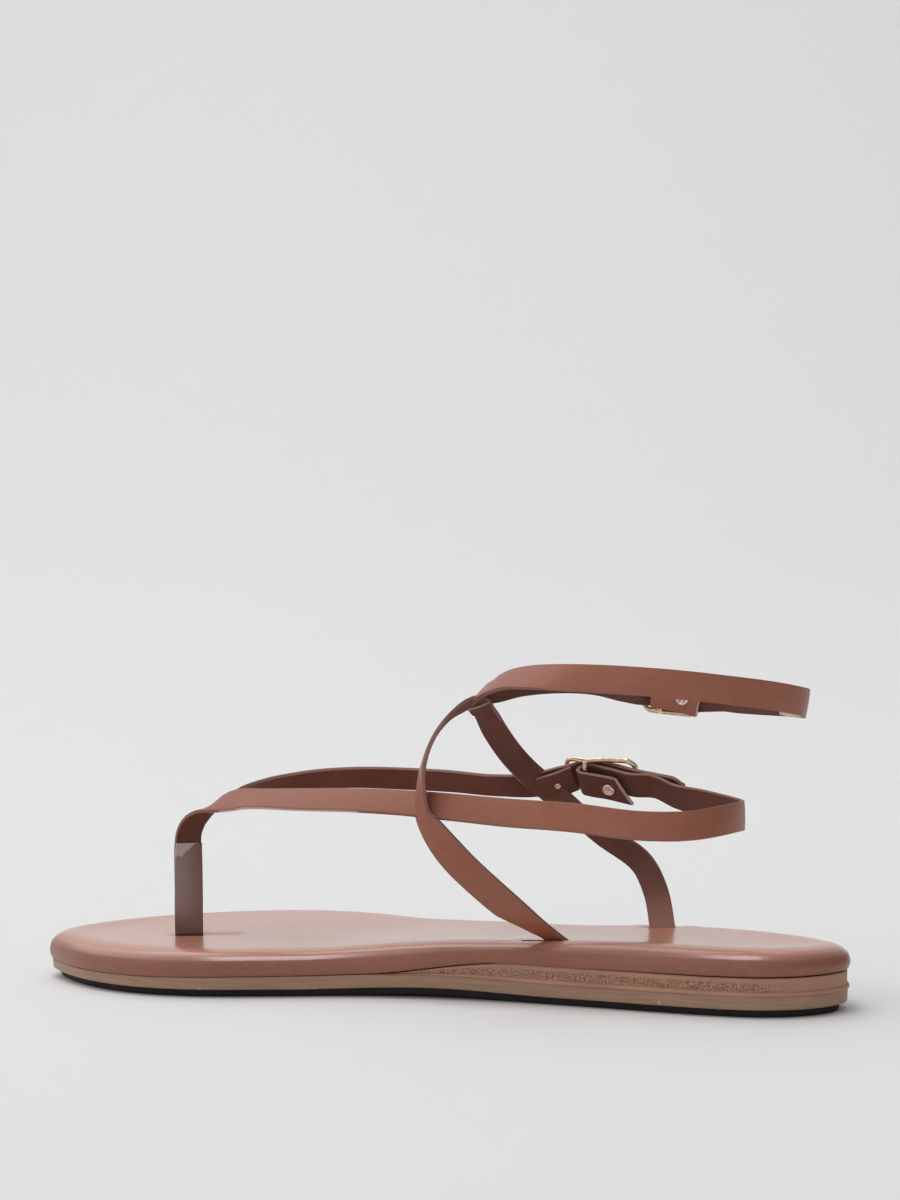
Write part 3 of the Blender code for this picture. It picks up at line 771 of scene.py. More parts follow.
def wedge_board(name):
    """Leather board of the heel wedge: a speckled, open middle between two smoother lips."""
    material, tree, shader = new_finish(name, 0.62)
    coords = object_coords(tree)
    _, rise = uv_parts(tree)
    split = tree.nodes.new("ShaderNodeSeparateXYZ")
    tree.links.new(coords, split.inputs["Vector"])
    clumps = clouds(tree, coords, 3000.0, 2.0, 0.55)
    patches = clouds(tree, coords, 90.0, 1.0)
    drift = clouds(tree, coords, 45.0, 3.0)
    band = math_node(tree, "MULTIPLY", between(tree, rise, 0.2, 0.28),
                     between(tree, rise, 0.62, 0.84, 1.0, 0.0))
    start, full = ((x - 0.5 * LENGTH) * MM for x in WEDGE_SPECKLE_STARTS)
    band = math_node(tree, "MULTIPLY", band, between(tree, split.outputs["X"], start, full))
    open_grain = math_node(tree, "ADD", clumps, math_node(tree, "MULTIPLY", patches, 0.06))
    pits = math_node(tree, "MULTIPLY", between(tree, open_grain, 0.52, 0.61), band)
    crumbs = math_node(tree, "MULTIPLY", between(tree, open_grain, 0.38, 0.48, 1.0, 0.0), band)
    pale = fade(tree, drift, 0.3, 0.7, (0.42, 0.215, 0.135), (0.5, 0.265, 0.17))
    colour = blend_colours(tree, crumbs, pale, (0.58, 0.34, 0.225))
    colour = blend_colours(tree, pits, colour, (0.19, 0.088, 0.052))
    hollow = math_node(tree, "SUBTRACT", 1.0, pits)
    dress(tree, shader, colour, ((hollow, 0.00025), (clumps, 0.0001)))
    return material


def polished_metal(name, deep, light):
    """Cast and polished metal with a faint haze."""
    material, tree, shader = new_finish(name, 0.16, metallic=1.0)
    coords = object_coords(tree)
    haze = clouds(tree, coords, 700.0, 3.0)
    colour = fade(tree, haze, 0.3, 0.7, deep, light)
    tree.links.new(between(tree, haze, 0.3, 0.75, 0.12, 0.26), shader.inputs["Roughness"])
    dress(tree, shader, colour, ((haze, 0.000004),))
    return material


STRAP_GRAIN = grain_leather("strap grain leather", (0.3, 0.102, 0.06), (0.36, 0.127, 0.078), 0.42,
                            coat_weight=0.08, specular_ior_level=0.35)
# The footbed's upper colour is lighter as painted sheen of the grazing light on its top.
FOOTBED_GRAIN_AND_SHEEN = grain_leather("footbed leather and painted sheen", (0.265, 0.096, 0.058), (0.315, 0.12, 0.075), 0.34,
                              upper=((0.57, 0.235, 0.148), 0.9), coat_weight=0.15, specular_ior_level=0.4)
STRAP_FLESH = flesh_leather("strap flesh side", (0.11, 0.044, 0.03), (0.17, 0.071, 0.052))
CROSS_FLESH_AND_BOUNCE = flesh_leather("cross strap flesh side and painted bounce", (0.13, 0.054, 0.04), (0.2, 0.087, 0.066),
                            ((0.34, 0.165, 0.125), *CROSS_PAINTED_BOUNCE_RUN))
STRAP_EDGE = raw_edge("strap raw edge", (0.2, 0.092, 0.067), (0.31, 0.155, 0.118))
CUT_END = raw_edge("fresh cut edge", (0.58, 0.41, 0.35), (0.7, 0.53, 0.46))
POST_TAPE = liner_tape("toe post facing")
SOLE_EDGE = sole_edge("outsole leather", (0.32, 0.184, 0.117), (0.43, 0.26, 0.168))
PAINTED_SHADOW_FOOT = shadow_foot_finish("outsole foot painted shadow")
WEDGE_BOARD = wedge_board("wedge leather board")
BRASS = polished_metal("pale polished brass", (0.7, 0.52, 0.32), (0.9, 0.74, 0.52))
RIVET_METAL = polished_metal("rose rivet metal", (0.8, 0.62, 0.54), (0.9, 0.76, 0.68))


# Sole layers
def edge_rows(edge):
    """Edge profile smoothed into more rows of margin and height share."""
    rows = catmull_rom(edge, lambda span: SIDE_STEPS)
    return np.c_[rows[:, 0], np.clip(rows[:, 1], edge[0][1], 1.0)]


def wrap_rings(name, rings, heights, edge_ring):
    """A closed layer from rings of places: U is the length round the edge ring, V each ring's height."""
    points = np.array([np.r_[ring, ring[:1]] for ring in rings])
    around = lengths_along(points[edge_ring, :, :2])
    return close_seams(shaped_grid(name, points, around * MM, heights))


def wrapped_layer(name, edge, bottom, top, swells, under_rings, top_rings):
    """A sole layer over the whole outline: underside, profiled edge and upper side in one wrap."""
    rows, heights = [], []
    profile = edge_rows(edge)
    swell = edge_swell(swells)
    first, last = outline_inset(profile[0, 0]), outline_inset(profile[-1, 0])
    for share in np.linspace(0.0, 1.0, under_rings + 1)[:-1]:
        spots = SOLE_MIDDLE + (first - SOLE_MIDDLE) * share
        rows.append(np.c_[spots, bottom(spots[:, 0]) + profile[0, 1] * SOLE_FOOT])
        heights.append(-2.0 + share)
    for margin, rise in profile:
        spots = outline_inset(margin - swell * math.sin(math.pi * max(rise, 0.0)))
        low, high = bottom(spots[:, 0]), top(spots[:, 0], spots[:, 1])
        rows.append(np.c_[spots, low + rise * (high - low if rise > 0.0 else SOLE_FOOT)])
        heights.append(rise)
    for share in np.linspace(1.0, 0.0, top_rings + 1)[1:]:
        spots = SOLE_MIDDLE + (last - SOLE_MIDDLE) * share
        rows.append(np.c_[spots, top(spots[:, 0], spots[:, 1])])
        heights.append(2.0 - share)
    return wrap_rings(name, rows, heights, under_rings)


def sides_at(margin):
    """Medial and lateral edge of the outline drawn in by a margin, as functions of x."""
    curve = outline_inset(margin)
    toe = int(np.argmax(curve[:, 0]))
    sides = []
    for side in (curve[:toe + 1], np.r_[curve[toe:], curve[:1]]):
        order = np.argsort(side[:, 0], kind="stable")
        sides.append(side[order])
    return [lambda x, side=side: np.interp(x, side[:, 0], side[:, 1]) for side in sides]


def slit_distance(x, y, slit):
    """Distance of places on the footbed from a slit's centre line."""
    slit_x, slit_y, length, _, turn = slit
    angle = math.radians(turn)
    along = (x - slit_x) * math.cos(angle) + (y - slit_y) * math.sin(angle)
    across = (y - slit_y) * math.cos(angle) - (x - slit_x) * math.sin(angle)
    return np.hypot(np.maximum(0.0, np.abs(along) - 0.5 * length), across)


def padded_top(x, y):
    """Footbed top: dished between its sides and drawn down a little along the slits."""
    medial, lateral = sides_at(FOOTBED_EDGE[-1][0])
    inner, outer = medial(x), lateral(x)
    breadth = np.maximum(inner - outer, 1e-3)
    share = np.clip((inner - y) / breadth, 0.0, 1.0)
    dish = FOOTBED_DISH * np.minimum(1.0, breadth / DISH_BREADTH) * np.sin(math.pi * share)
    height = footbed_top(x, y) - dish
    for slit in SLITS:
        height = height - SLIT_DIP * np.exp(-(slit_distance(x, y, slit) / SLIT_DIP_REACH) ** 2)
    return height


def table_spots(items, field):
    """Places of a mesh's vertices or faces, back in table millimetres."""
    flat = np.empty(3 * len(items))
    items.foreach_get(field, flat)
    return flat.reshape(-1, 3) / MM + TABLE_ORIGIN


def lip_area(spots):
    """Which places lie on the footbed's top, near a slit and inside the rounded shoulders."""
    x, y, z = spots.T
    near = np.min([slit_distance(x, y, slit) for slit in SLITS], axis=0) < LIP_REACH
    medial, lateral = sides_at(LIP_MARGIN)
    inside = (y < medial(x)) & (y > lateral(x))
    return near & inside & (z > padded_top(x, y) - LIP_DEPTH)


def soften_lips(footbed):
    """Finer faces round the slits, with the leather drawn down along them."""
    mesh = footbed.data
    active(footbed)
    bpy.ops.object.mode_set(mode="EDIT")
    bpy.ops.mesh.select_mode(type="FACE")
    bpy.ops.mesh.select_all(action="DESELECT")
    bpy.ops.object.mode_set(mode="OBJECT")
    spots = table_spots(mesh.polygons, "center")
    mesh.polygons.foreach_set("select", lip_area(spots))
    bpy.ops.object.mode_set(mode="EDIT")
    bpy.ops.mesh.subdivide(number_cuts=LIP_CUTS)
    bpy.ops.object.mode_set(mode="OBJECT")
    spots = table_spots(mesh.vertices, "co")
    near = lip_area(spots)
    spots[near, 2] = padded_top(spots[near, 0], spots[near, 1])
    mesh.vertices.foreach_set("co", place(spots).ravel())
    mesh.update()


def make_footbed():
    """Padded footbed with round shoulders and the slits that the straps go through."""
    footbed = wrapped_layer("padded_footbed", FOOTBED_EDGE, footbed_bottom, padded_top, FOOTBED_SWELLS,
                            FOOTBED_UNDER_RINGS, FOOTBED_TOP_RINGS)
    soften_lips(footbed)
    cut(footbed, [slit_cutter(*slit) for slit in SLITS])
    footbed.data.materials.append(FOOTBED_GRAIN_AND_SHEEN)
    smooth(footbed, SOLE_SMOOTH)
    return settle(footbed, "footbed_leather", "footbed")


def slit_cutter(x, y, length, breadth, turn):
    """A round-ended slot through the footbed's upper leather and foam."""
    high = footbed_top(x, y) + FOOTBED
    low = footbed_top(x, y) - SLIT_DEPTH
    bpy.ops.object.select_all(action="DESELECT")
    bpy.ops.mesh.primitive_cube_add(size=1.0)
    slot = bpy.context.object
    slot.dimensions = (length * MM, breadth * MM, (high - low) * MM)
    slot.location = place((x, y, 0.5 * (low + high)))
    slot.rotation_euler.z = math.radians(turn)
    bpy.ops.object.transform_apply(location=True, rotation=True, scale=True)
    bpy.ops.object.mode_set(mode="EDIT")
    bpy.ops.mesh.select_all(action="SELECT")
    bpy.ops.mesh.bevel(offset=SLIT_ROUND * breadth * MM, segments=3, affect="EDGES")
    bpy.ops.object.mode_set(mode="OBJECT")
    return slot


def make_outsole():
    """Outsole with its cut edge, on a foot that is set in under the rim and painted near-black as the
    contact shadow.
    """
    outsole = wrapped_layer("leather_outsole", OUTSOLE_EDGE, floor_height, lambda x, y: outsole_top(x),
                            OUTSOLE_SWELLS, OUTSOLE_RINGS, OUTSOLE_RINGS)
    outsole.data.materials.append(SOLE_EDGE)
    outsole.data.materials.append(PAINTED_SHADOW_FOOT)
    # Faces of the set-in foot take the near-black painted shadow finish.
    spots = table_spots(outsole.data.polygons, "center")
    under = spots[:, 2] < floor_height(spots[:, 0]) - FOOT_LINE
    outsole.data.polygons.foreach_set("material_index", under.astype(np.int32))
    smooth(outsole, SOLE_SMOOTH)
    return settle(outsole, "outsole_leather", "outsole")


def make_heel_wedge():
    """Wedge of leather board under the heel, skived to a feather under the arch."""
    spans = np.arange(*WEDGE_SLOPE, WEDGE_STEP)
    end = spans[wedge_rise(spans) > WEDGE_FEATHER][-1]
    order = np.roll(np.arange(len(OUTLINE)), len(OUTLINE) // 2)
    behind = np.flatnonzero(OUTLINE[order, 0] < end)
    kept = order[behind[0] - 1:behind[-1] + 2]
    rows, heights = [], []
    for margin, rise in edge_rows(WEDGE_EDGE):
        spots = outline_inset(margin)[kept]
        x = np.minimum(spots[:, 0], end)
        rows.append(np.c_[x, spots[:, 1], outsole_top(x) + WEDGE_SEAT + rise * (wedge_rise(x) - WEDGE_SEAT)])
        heights.append(rise)
    middle = WEDGE_MIDDLE * end
    base = outsole_top(middle)
    rows.insert(0, np.tile((middle, 0.0, base + WEDGE_SEAT), (len(kept), 1)))
    rows.append(np.tile((middle, 0.0, base + wedge_rise(middle)), (len(kept), 1)))
    heights = [-1.0, *heights, 2.0]
    wedge = wrap_rings("heel_wedge_board", rows, heights, 1)
    wedge.data.materials.append(WEDGE_BOARD)
    smooth(wedge, SOLE_SMOOTH)
    return settle(wedge, "wedge_leather", "heel_wedge")


# Strap routes
def facing(angle, lean):
    a, e = math.radians(angle), math.radians(lean)
    return (math.cos(a) * math.cos(e), math.sin(a) * math.cos(e), math.sin(e))


def strap_stations(rows):
    return [(x, y, z, *facing(angle, lean)) for x, y, z, angle, lean in rows]


def strap_route(stations):
    """Dense centre line with the grain side's direction and the direction across the strap."""
    rows = catmull_rom(stations, lambda span: max(1, round(span / ROUTE_STEP)))
    spots = rows[:, :3]
    along = np.gradient(spots, axis=0)
    along /= np.linalg.norm(along, axis=1)[:, None]
    normals = rows[:, 3:] - np.sum(rows[:, 3:] * along, axis=1)[:, None] * along
    normals /= np.linalg.norm(normals, axis=1)[:, None]
    return Route(spots, normals, np.cross(normals, along), lengths_along(spots))


def buckle_axes(key):
    layout = BUCKLES[key]
    run = Vector(layout["run"]).normalized()
    face = Vector(layout["face"])
    face = (face - face.dot(run) * run).normalized()
    return Vector(layout["bar"]), run, face, face.cross(run)


def buckle_spot(key, along, out, across=0.0):
    bar, run, face, side = buckle_axes(key)
    return bar + float(along) * run + float(out) * face + float(across) * side


def buckle_station(key, along, out, across=0.0, turn=0.0):
    """A strap station near the buckle. turn swings its facing from outward to the toe and inward."""
    _, run, face, _ = buckle_axes(key)
    angle = math.radians(turn)
    normal = math.cos(angle) * face + math.sin(angle) * run
    return (*buckle_spot(key, along, out, across), *normal)


def reach(key, share):
    """Distance from the bar at a share of the frame's front or rear reach."""
    return share * BUCKLES[key]["front" if share > 0.0 else "rear"]


def billet_stations(key):
    """The free strap: under the frame's front end, over the bar, under its rear end, then its tip."""
    lead, lead_out, lead_across = BUCKLES[key]["lead"]
    layout = [(reach(key, 1.0) + lead, lead_out, lead_across)]
    layout += [(reach(key, share), out, 0.0) for share, out in BILLET_ROWS]
    end, end_out, _ = layout[-1]
    for part in (0.5, 1.0):
        drop = part * TIP_REACH * BUCKLES[key]["tip_turn"]
        layout.append((end - part * TIP_REACH, end_out - drop, 2.0 * part * BUCKLES[key]["lift"]))
    return [buckle_station(key, *spot) for spot in layout]


def bar_fold_stations(key):
    """The buckle's own strap: out over the bar, round it and back inside to its cut end."""
    radius = BUCKLE_ROD + FOLD_GAP + 0.5 * STRAP_THICK
    stations = [buckle_station(key, reach(key, -1.0) - FOLD_LEAD, FOLD_OUTSIDE[0][1], BUCKLES[key]["lift"])]
    stations += [buckle_station(key, reach(key, share), out) for share, out in FOLD_OUTSIDE]
    for i in range(FOLD_STEPS + 1):
        turn = 180.0 * i / FOLD_STEPS
        angle = math.radians(turn)
        stations.append(buckle_station(key, radius * math.sin(angle), radius * math.cos(angle), 0.0, turn))
    for share, out, across in FOLD_INSIDE:
        stations.append(buckle_station(key, reach(key, share) * BUCKLES[key]["tab"], out, across, 180.0))
    return stations


# Straps
def end_share(route, run):
    """0 along the route until its last run starts, then rising smoothly to 1 at the far end."""
    return smoothstep(route.lengths, route.lengths[-1] - run, route.lengths[-1])


def nearest(spots, face):
    """Which of the places is nearest to the face."""
    return int(np.argmin(np.linalg.norm(spots - np.array(face.center), axis=1)))


def lay_strap(name, route, width, thick=LEATHER_THICK, tip=False, out=0.0, slant=0.0, trim=None,
              pale_ends=False):
    """A strip of leather cut flat, bent along its route and given grain, flesh and raw edges.

    width is one number or one for each place along the route. tip rounds the far end, and slant cuts
    it at an angle, as a length over the strap's width. trim narrows the lower half at the near end, as
    (length, share) pairs. pale_ends shows the fresh cut at both ends.
    """
    offsets = np.linspace(0.5, -0.5, STRAP_COLUMNS)
    widths = np.full(len(route.lengths), width)
    widths += STRAP_SWELL * soft_noise(route.spots, STRAP_SWELL_LENGTH)
    if tip:
        widths *= 1.0 - (1.0 - TIP_WIDTH) * end_share(route, TIP_ROUND) ** 2
    crown = STRAP_CROWN * (1.0 - (2.0 * offsets) ** 2) - 0.5 * STRAP_CROWN + out
    spread = widths[:, None] * offsets[None, :]
    if trim:
        share = np.interp(route.lengths, *zip(*trim))
        spread *= np.where(spread * route.across[:, 2:] < 0.0, share[:, None], 1.0)
    points = (route.spots[:, None, :] + route.across[:, None, :] * spread[:, :, None]
              + route.normals[:, None, :] * crown[None, :, None])
    if slant:
        along = np.cross(route.across, route.normals)
        shift = slant * end_share(route, SLANT_REACH)[:, None] * offsets[None, :]
        points += along[:, None, :] * shift[:, :, None]
    strap = shaped_grid(name, points, (0.5 - offsets) * widths.max() * MM, route.lengths * MM)
    for finish in (STRAP_GRAIN, STRAP_FLESH, STRAP_EDGE, CUT_END):
        strap.data.materials.append(finish)
    add_modifier(strap, "SOLIDIFY", thickness=thick * MM, offset=0.0, material_offset=FLESH_SIDE,
                 material_offset_rim=RAW_EDGE)
    add_modifier(strap, "BEVEL", width=min(EDGE_ROUND, EDGE_ROUND_SHARE * thick) * MM, segments=3,
                 limit_method="ANGLE", angle_limit=math.radians(EDGE_ANGLE))
    if pale_ends:
        ends = place(route.spots[[0, -1]])
        for face in strap.data.polygons:
            end = nearest(ends, face)
            along = np.cross(route.across[-end], route.normals[-end])
            if face.material_index == RAW_EDGE and abs(np.dot(along, face.normal)) > CUT_FACING:
                face.material_index = FRESH_CUT
    smooth(strap, STRAP_SMOOTH)
    return strap


def stretch_of(route, start, end):
    """The part of a route between two lengths."""
    keep = (route.lengths >= start) & (route.lengths <= end)
    return Route(*(values[keep] for values in route))


def darken_tab_end(strap, route):
    """The heel strap's folded end takes the darker flesh finish on its face, over its last stretch."""
    spots = place(route.spots)
    for face in strap.data.polygons:
        left = route.lengths[-1] - route.lengths[nearest(spots, face)]
        if face.material_index == GRAIN_SIDE and left < DARK_TAB_LENGTH:
            face.material_index = FLESH_SIDE


def punch_holes(strap, route):
    """Punched holes in the free end of a buckled strap, measured back from its tip."""
    cutters = []
    for back in HOLE_PLACES:
        i = int(np.argmin(np.abs(route.lengths[-1] - back - route.lengths)))
        turn = Vector(route.normals[i]).to_track_quat("Z", "X").to_euler()
        bpy.ops.object.select_all(action="DESELECT")
        bpy.ops.mesh.primitive_cylinder_add(vertices=HOLE_SIDES, radius=HOLE_RADIUS * MM,
                                            depth=HOLE_DEPTH * MM, location=place(route.spots[i]),
                                            rotation=turn)
        cutter = bpy.context.active_object
        for finish in strap.data.materials:
            cutter.data.materials.append(finish)
        cutter.data.polygons.foreach_set("material_index", [RAW_EDGE] * len(cutter.data.polygons))
        cutters.append(cutter)
    cut(strap, cutters)
    smooth(strap, STRAP_SMOOTH)


def make_straps():
    """All the straps on their routes, with the small pieces that are fixed to them."""
    main = strap_route(strap_stations(MAIN_ROWS) + bar_fold_stations("instep"))
    lateral = strap_route(strap_stations(LATERAL_ROWS) + billet_stations("instep"))
    cross = strap_route(strap_stations(CROSS_ROWS))
    ankle = strap_route(list(reversed(bar_fold_stations("ankle"))) + strap_stations(ANKLE_BACK_ROWS)
                        + billet_stations("ankle"))
    keeper = strap_route([buckle_station("instep", *spot) for spot in KEEPER_ROWS])
    cross_widths = np.interp(cross.lengths, *zip(*CROSS_STRAP_WIDTHS))
    pieces = [
        lay_strap("toe_post_and_heel_strap", main, STRAP_WIDTH, slant=TAB_SLANT, pale_ends=True),
        lay_strap("lateral_strap", lateral, STRAP_WIDTH, tip=True),
        lay_strap("cross_strap", cross, cross_widths, trim=CROSS_END_TRIM),
        lay_strap("ankle_strap", ankle, ANKLE_STRAP_WIDTH, tip=True, pale_ends=True),
        lay_strap("keeper_tab", keeper, STRAP_WIDTH, pale_ends=True),
    ]
    pieces[2].data.materials[FLESH_SIDE] = CROSS_FLESH_AND_BOUNCE
    darken_tab_end(pieces[0], main)
    punch_holes(pieces[1], lateral)
    punch_holes(pieces[3], ankle)
    for piece in pieces:
        settle(piece, "strap_leather", "upper")
    make_post_facing(main)
    make_joint_tab(cross)
    make_heel_glint_strip(ankle)
    make_keeper_rivet(keeper)


def make_post_facing(main):
    """Thin facing glued to the inner side of the toe post."""
    run = stretch_of(main, *TAPE_RUN)
    tape = lay_strap("toe_post_facing", run, TAPE_WIDTH, thick=TAPE_THICK,
                     out=-0.5 * (LEATHER_THICK + TAPE_THICK))
    tape.data.materials.clear()
    tape.data.materials.append(POST_TAPE)
    settle(tape, "strap_leather")


def make_joint_tab(cross):
    """End of the cross strap's front half, lapped on the inner face behind the ankle strap."""
    top = int(np.argmax(cross.spots[:, 2]))
    start = cross.lengths[top]
    run = stretch_of(cross, start + JOINT_TAB_RUN[0], start + JOINT_TAB_RUN[1])
    lapped = Route(run.spots, -run.normals, -run.across, run.lengths)
    tab = lay_strap("cross_strap_lap", lapped, CROSS_STRAP_WIDTH, thick=JOINT_TAB_THICK,
                    out=0.5 * (LEATHER_THICK + JOINT_TAB_THICK), slant=JOINT_TAB_SLANT, pale_ends=True)
    tab.data.materials[GRAIN_SIDE] = STRAP_FLESH
    settle(tab, "strap_leather")


def make_heel_glint_strip(ankle):
    """Pale strip inside the ankle strap where it turns round the heel: a painted glint."""
    back = int(np.argmin(ankle.spots[:, 0]))
    start, end = ankle.lengths[back] - HEEL_GLINT_ENDS[0], ankle.lengths[back] + HEEL_GLINT_ENDS[1]
    run = stretch_of(ankle, start, end)
    lowered = run.spots - HEEL_GLINT_DROP * run.across * np.sign(run.across[:, 2:])
    turned_round = Route(lowered[::-1], run.normals[::-1], -run.across[::-1],
                         run.lengths[-1] - run.lengths[::-1])
    glint_strip = lay_strap("heel_turn_painted_glint", turned_round, HEEL_GLINT_WIDTH, thick=HEEL_GLINT_THICK,
                       tip=True, out=-0.5 * (LEATHER_THICK + HEEL_GLINT_THICK))
    # Its inner face and edges take the pale cut finish as the painted glint.
    glint_strip.data.materials[FLESH_SIDE] = CUT_END
    glint_strip.data.materials[RAW_EDGE] = CUT_END
    settle(glint_strip, "strap_leather")


def make_keeper_rivet(keeper):
    """Small rivet through the keeper tab, seen on its inner side."""
    middle = len(keeper.lengths) // 2
    inward = -keeper.normals[middle]
    spot = keeper.spots[middle] + inward * 0.5 * LEATHER_THICK
    small = np.array(RIVET_PROFILE) * KEEPER_RIVET
    rivet = turned("keeper_rivet", small, spot, inward)
    rivet.data.materials.append(RIVET_METAL)
    settle(rivet, "buckle_brass")


# Buckles and rivets
def circle(turns, side, up):
    """Unit circle in the plane of two directions, or one for each pair of them."""
    return np.cos(turns)[:, None] * side + np.sin(turns)[:, None] * up


def rod(name, path, radii, closed):
    """A round rod along a path, with a radius for each point."""
    spots = np.array([tuple(spot) for spot in path])
    if closed:
        along = np.roll(spots, -1, axis=0) - np.roll(spots, 1, axis=0)
    else:
        along = np.gradient(spots, axis=0)
    along /= np.linalg.norm(along, axis=1)[:, None]
    reference = np.linalg.svd(spots - spots.mean(axis=0))[2][2]
    side = np.cross(reference, along)
    side /= np.linalg.norm(side, axis=1)[:, None]
    up = np.cross(along, side)
    turns = np.linspace(0.0, 2.0 * math.pi, ROD_SIDES + 1)
    radii = np.broadcast_to(radii, len(spots))
    rings = spots[:, None, :] + radii[:, None, None] * circle(turns, side[:, None, :], up[:, None, :])
    if closed:
        rings = np.concatenate((rings, rings[:1]))
    else:
        tips = np.tile(spots[:, None, :], (1, ROD_SIDES + 1, 1))
        rings = np.concatenate((tips[:1], rings, tips[-1:]))
    piece = shaped_grid(name, rings, turns, np.linspace(0.0, 1.0, len(rings)))
    close_seams(piece)
    smooth(piece)
    return piece


def frame_path(key):
    """Rounded rectangle round the bar, as places along and across the strap."""
    front, rear = reach(key, 1.0), reach(key, -1.0)
    inner = BUCKLE_HALF_WIDTH - BUCKLE_CORNER
    corners = (
        # corner centre along, across, first angle
        (front - BUCKLE_CORNER, -inner, -90.0),
        (front - BUCKLE_CORNER, inner, 0.0),
        (rear + BUCKLE_CORNER, inner, 90.0),
        (rear + BUCKLE_CORNER, -inner, 180.0),
    )
    rounds = []
    for along, across, first in corners:
        turns = [math.radians(first + 90.0 * i / CORNER_STEPS) for i in range(CORNER_STEPS + 1)]
        rounds.append([(along + BUCKLE_CORNER * math.cos(turn), across + BUCKLE_CORNER * math.sin(turn))
                       for turn in turns])
    stations = np.linspace(front - BUCKLE_CORNER, rear + BUCKLE_CORNER, BUCKLE_SIDE_STEPS)[1:-1]
    side = [(along, BUCKLE_HALF_WIDTH) for along in stations]
    other_side = [(along, -across) for along, across in reversed(side)]
    return rounds[0] + rounds[1] + side + rounds[2] + rounds[3] + other_side


def make_buckle(key):
    """Bowed brass frame with its centre bar, and the prong laid over the frame's rear end."""
    ring = []
    for along, across in frame_path(key):
        out = BUCKLE_LEVEL - BUCKLE_DIP * math.exp(-(along / BUCKLE_DIP_REACH) ** 2)
        ring.append(buckle_spot(key, along, out, across))
    rim = rod(key + "_buckle", ring, BUCKLE_ROD, True)
    bar_line = [buckle_spot(key, 0.0, (BUCKLE_LEVEL - BUCKLE_DIP) * abs(share) ** BAR_BEND,
                            share * BUCKLE_HALF_WIDTH) for share in np.linspace(-1.0, 1.0, BAR_STEPS)]
    bar = rod(key + "_bar", bar_line, BUCKLE_ROD, False)
    add_modifier(rim, "BOOLEAN", operation="UNION", solver="EXACT", object=bar)
    bpy.data.objects.remove(bar, do_unlink=True)
    rim.data.materials.clear()
    rim.data.materials.append(BRASS)
    smooth(rim)
    settle(rim, "buckle_brass", key + "_buckle_frame")
    make_prong(key)
    make_tab_rivet(key)


def make_prong(key):
    """Prong: up through the billet's hole, along the strap and over the frame's rear end."""
    rear = reach(key, -1.0)
    over_bar = dict(BILLET_ROWS)[0.0] + 0.5 * STRAP_THICK + PRONG_ROD
    over_frame = BUCKLE_LEVEL + BUCKLE_ROD + PRONG_ROD
    layout = (*PRONG_ROOT, (PRONG_BEND, over_bar),
              (0.5 * rear, 0.5 * (over_bar + over_frame) + PRONG_BOW),
              (PRONG_NEAR_END * rear, over_frame + PRONG_LIFT),
              (rear - PRONG_PAST_FRAME, over_frame - PRONG_DROP))
    path = catmull_rom([tuple(buckle_spot(key, *spot)) for spot in layout], lambda span: PRONG_STEPS)
    radii = np.interp(np.linspace(0.0, 1.0, len(path)), (PRONG_TAPER, 1.0), (PRONG_ROD, PRONG_TIP))
    prong = rod(key + "_prong", path, radii, False)
    prong.data.materials.append(BRASS)
    settle(prong, "buckle_brass", key + "_buckle_prong")


def turned(name, profile, centre, normal):
    """A small turned piece: a profile of radius and height spun about a normal."""
    axis = Vector(normal).normalized()
    side = axis.orthogonal().normalized()
    up = axis.cross(side)
    turns = np.linspace(0.0, 2.0 * math.pi, RIVET_SIDES + 1)
    rows = catmull_rom(profile, lambda span: RIVET_STEPS)
    ring = circle(turns, np.array(side), np.array(up))
    points = (np.array(centre) + rows[:, None, 1:2] * np.array(axis)
              + np.maximum(rows[:, None, 0:1], 0.0) * ring)
    piece = close_seams(shaped_grid(name, points, turns, np.linspace(0.0, 1.0, len(rows))))
    smooth(piece, RIVET_SMOOTH)
    return piece


def make_tab_rivet(key):
    """Ring rivet that closes the strap's fold behind the bar, on the inner side."""
    _, _, face, _ = buckle_axes(key)
    share, out, across = FOLD_INSIDE[0]
    along = reach(key, share) * BUCKLES[key]["tab"]
    spot = buckle_spot(key, along - RIVET_BACK, out - RIVET_SEAT - 0.5 * LEATHER_THICK, across)
    rivet = turned(key + "_tab_rivet", RIVET_PROFILE, spot, -face)
    rivet.data.materials.append(RIVET_METAL)
    settle(rivet, "buckle_brass")


# Studio
def studio_spot(away, left, up):
    """A place in the studio, from distances away from the camera, to its left and up."""
    sine, cosine = math.sin(CAMERA_HEADING), math.cos(CAMERA_HEADING)
    return Vector((away * sine + left * cosine, left * sine - away * cosine, up))


def make_sweep():
    """Pale seamless paper: floor, bend and wall."""
    profile = [(far, 0.0) for far in SWEEP_FLOOR]
    for turn in np.linspace(0.0, 0.5 * math.pi, SWEEP_BEND_STEPS + 1)[1:]:
        profile.append((SWEEP_FLOOR[-1] + SWEEP_BEND * math.sin(turn), SWEEP_BEND * (1.0 - math.cos(turn))))
    profile.append((SWEEP_FLOOR[-1] + SWEEP_BEND, SWEEP_TOP))
    points = np.array([[tuple(studio_spot(far, aside, high) / MM) for aside in SWEEP_SIDES]
                       for far, high in profile])
    sweep = shaped_grid("studio_sweep", points + TABLE_ORIGIN, (0.0, 1.0), lengths_along(profile))
    paper, _, shader = new_finish("sweep paper", 0.9)
    shader.inputs["Base Color"].default_value = (*PAPER, 1.0)
    sweep.data.materials.append(paper)
    smooth(sweep, SWEEP_SMOOTH)


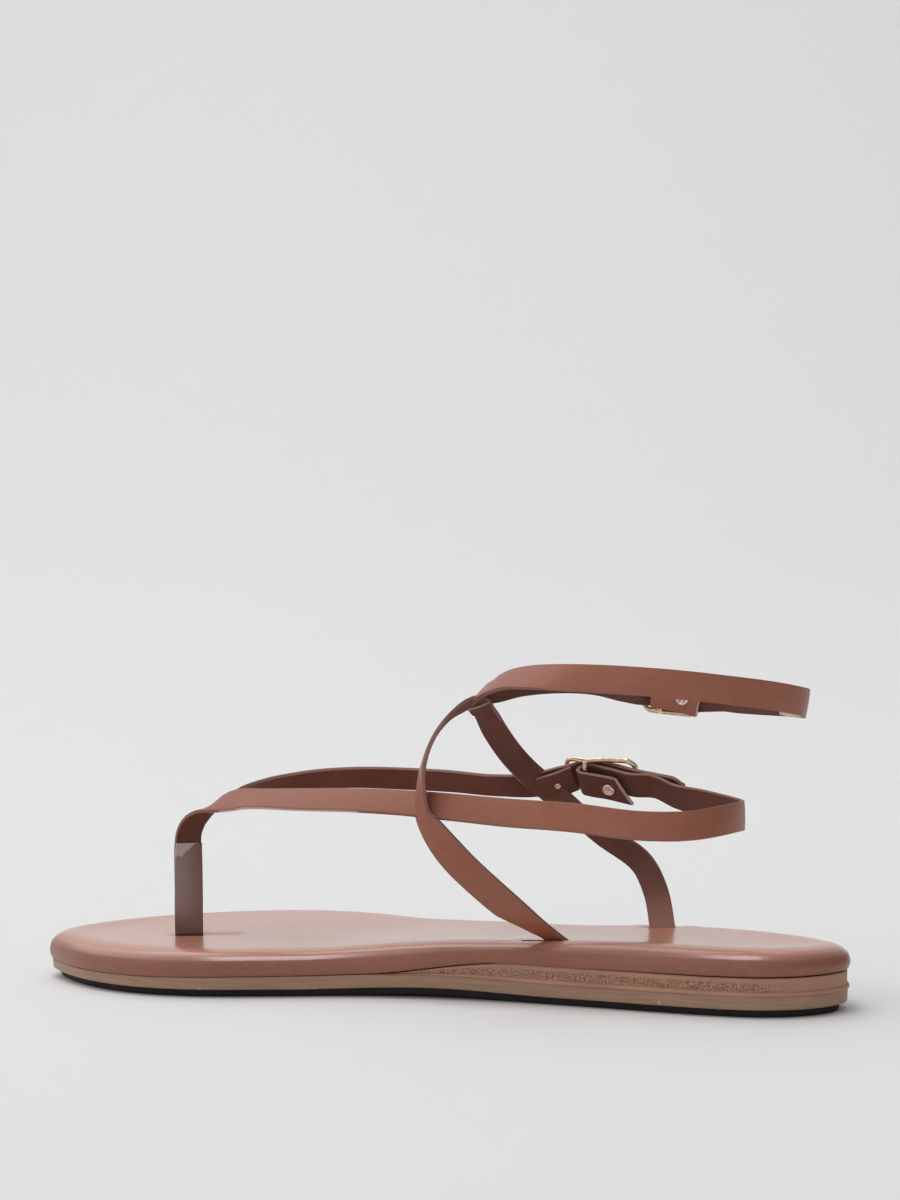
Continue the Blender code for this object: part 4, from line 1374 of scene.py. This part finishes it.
def make_air():
    """Dim air that is lighter above and to the left."""
    world = bpy.data.worlds.new("studio air")
    bpy.context.scene.world = world
    world.use_nodes = True
    tree = world.node_tree
    slope = tree.nodes.new("ShaderNodeVectorMath")
    slope.operation = "DOT_PRODUCT"
    tree.links.new(tree.nodes.new("ShaderNodeTexCoord").outputs["Generated"], slope.inputs[0])
    slope.inputs[1].default_value = studio_spot(*AIR_SLOPE)
    level = math_node(tree, "MAXIMUM", math_node(tree, "ADD", slope.outputs["Value"], AIR_LEVEL), AIR_LEAST)
    tree.links.new(level, tree.nodes["Background"].inputs["Strength"])
    tree.nodes["Background"].inputs["Color"].default_value = (1.0, 1.0, 1.0, 1.0)


def add_light(name, spot, target, size, power):
    """A square softbox aimed at a target."""
    light = bpy.data.lights.new(name, "AREA")
    light.size = size
    light.energy = power
    lamp = bpy.data.objects.new(name, light)
    bpy.context.collection.objects.link(lamp)
    lamp.location = spot
    lamp.rotation_euler = (target - spot).to_track_quat("-Z", "Y").to_euler()


def make_camera():
    """Camera of the photograph, raised with the sole by its foot."""
    back = studio_spot(-math.cos(CAMERA_DIP), 0.0, math.sin(CAMERA_DIP))
    level = studio_spot(0.0, -1.0, 0.0)
    rise = back.cross(level)
    right = level * math.cos(CAMERA_ROLL) + rise * math.sin(CAMERA_ROLL)
    up = rise * math.cos(CAMERA_ROLL) - level * math.sin(CAMERA_ROLL)
    lens = bpy.data.cameras.new("photo camera")
    lens.lens = CAMERA_LENS
    camera = bpy.data.objects.new("photo camera", lens)
    bpy.context.collection.objects.link(camera)
    turn = Matrix((right, up, back)).transposed().to_4x4()
    camera.matrix_world = Matrix.Translation(CAMERA_PLACE) @ turn
    camera.location.z += SOLE_FOOT * MM
    bpy.context.scene.camera = camera


make_camera()
make_outsole()
make_heel_wedge()
make_footbed()
make_straps()
for buckle in BUCKLES:
    make_buckle(buckle)
make_sweep()
make_air()
for name, spot, target, size, power in LIGHTS:
    add_light(name, studio_spot(*spot), studio_spot(*target), size, power)
bpy.context.scene.view_settings.view_transform = "Standard"
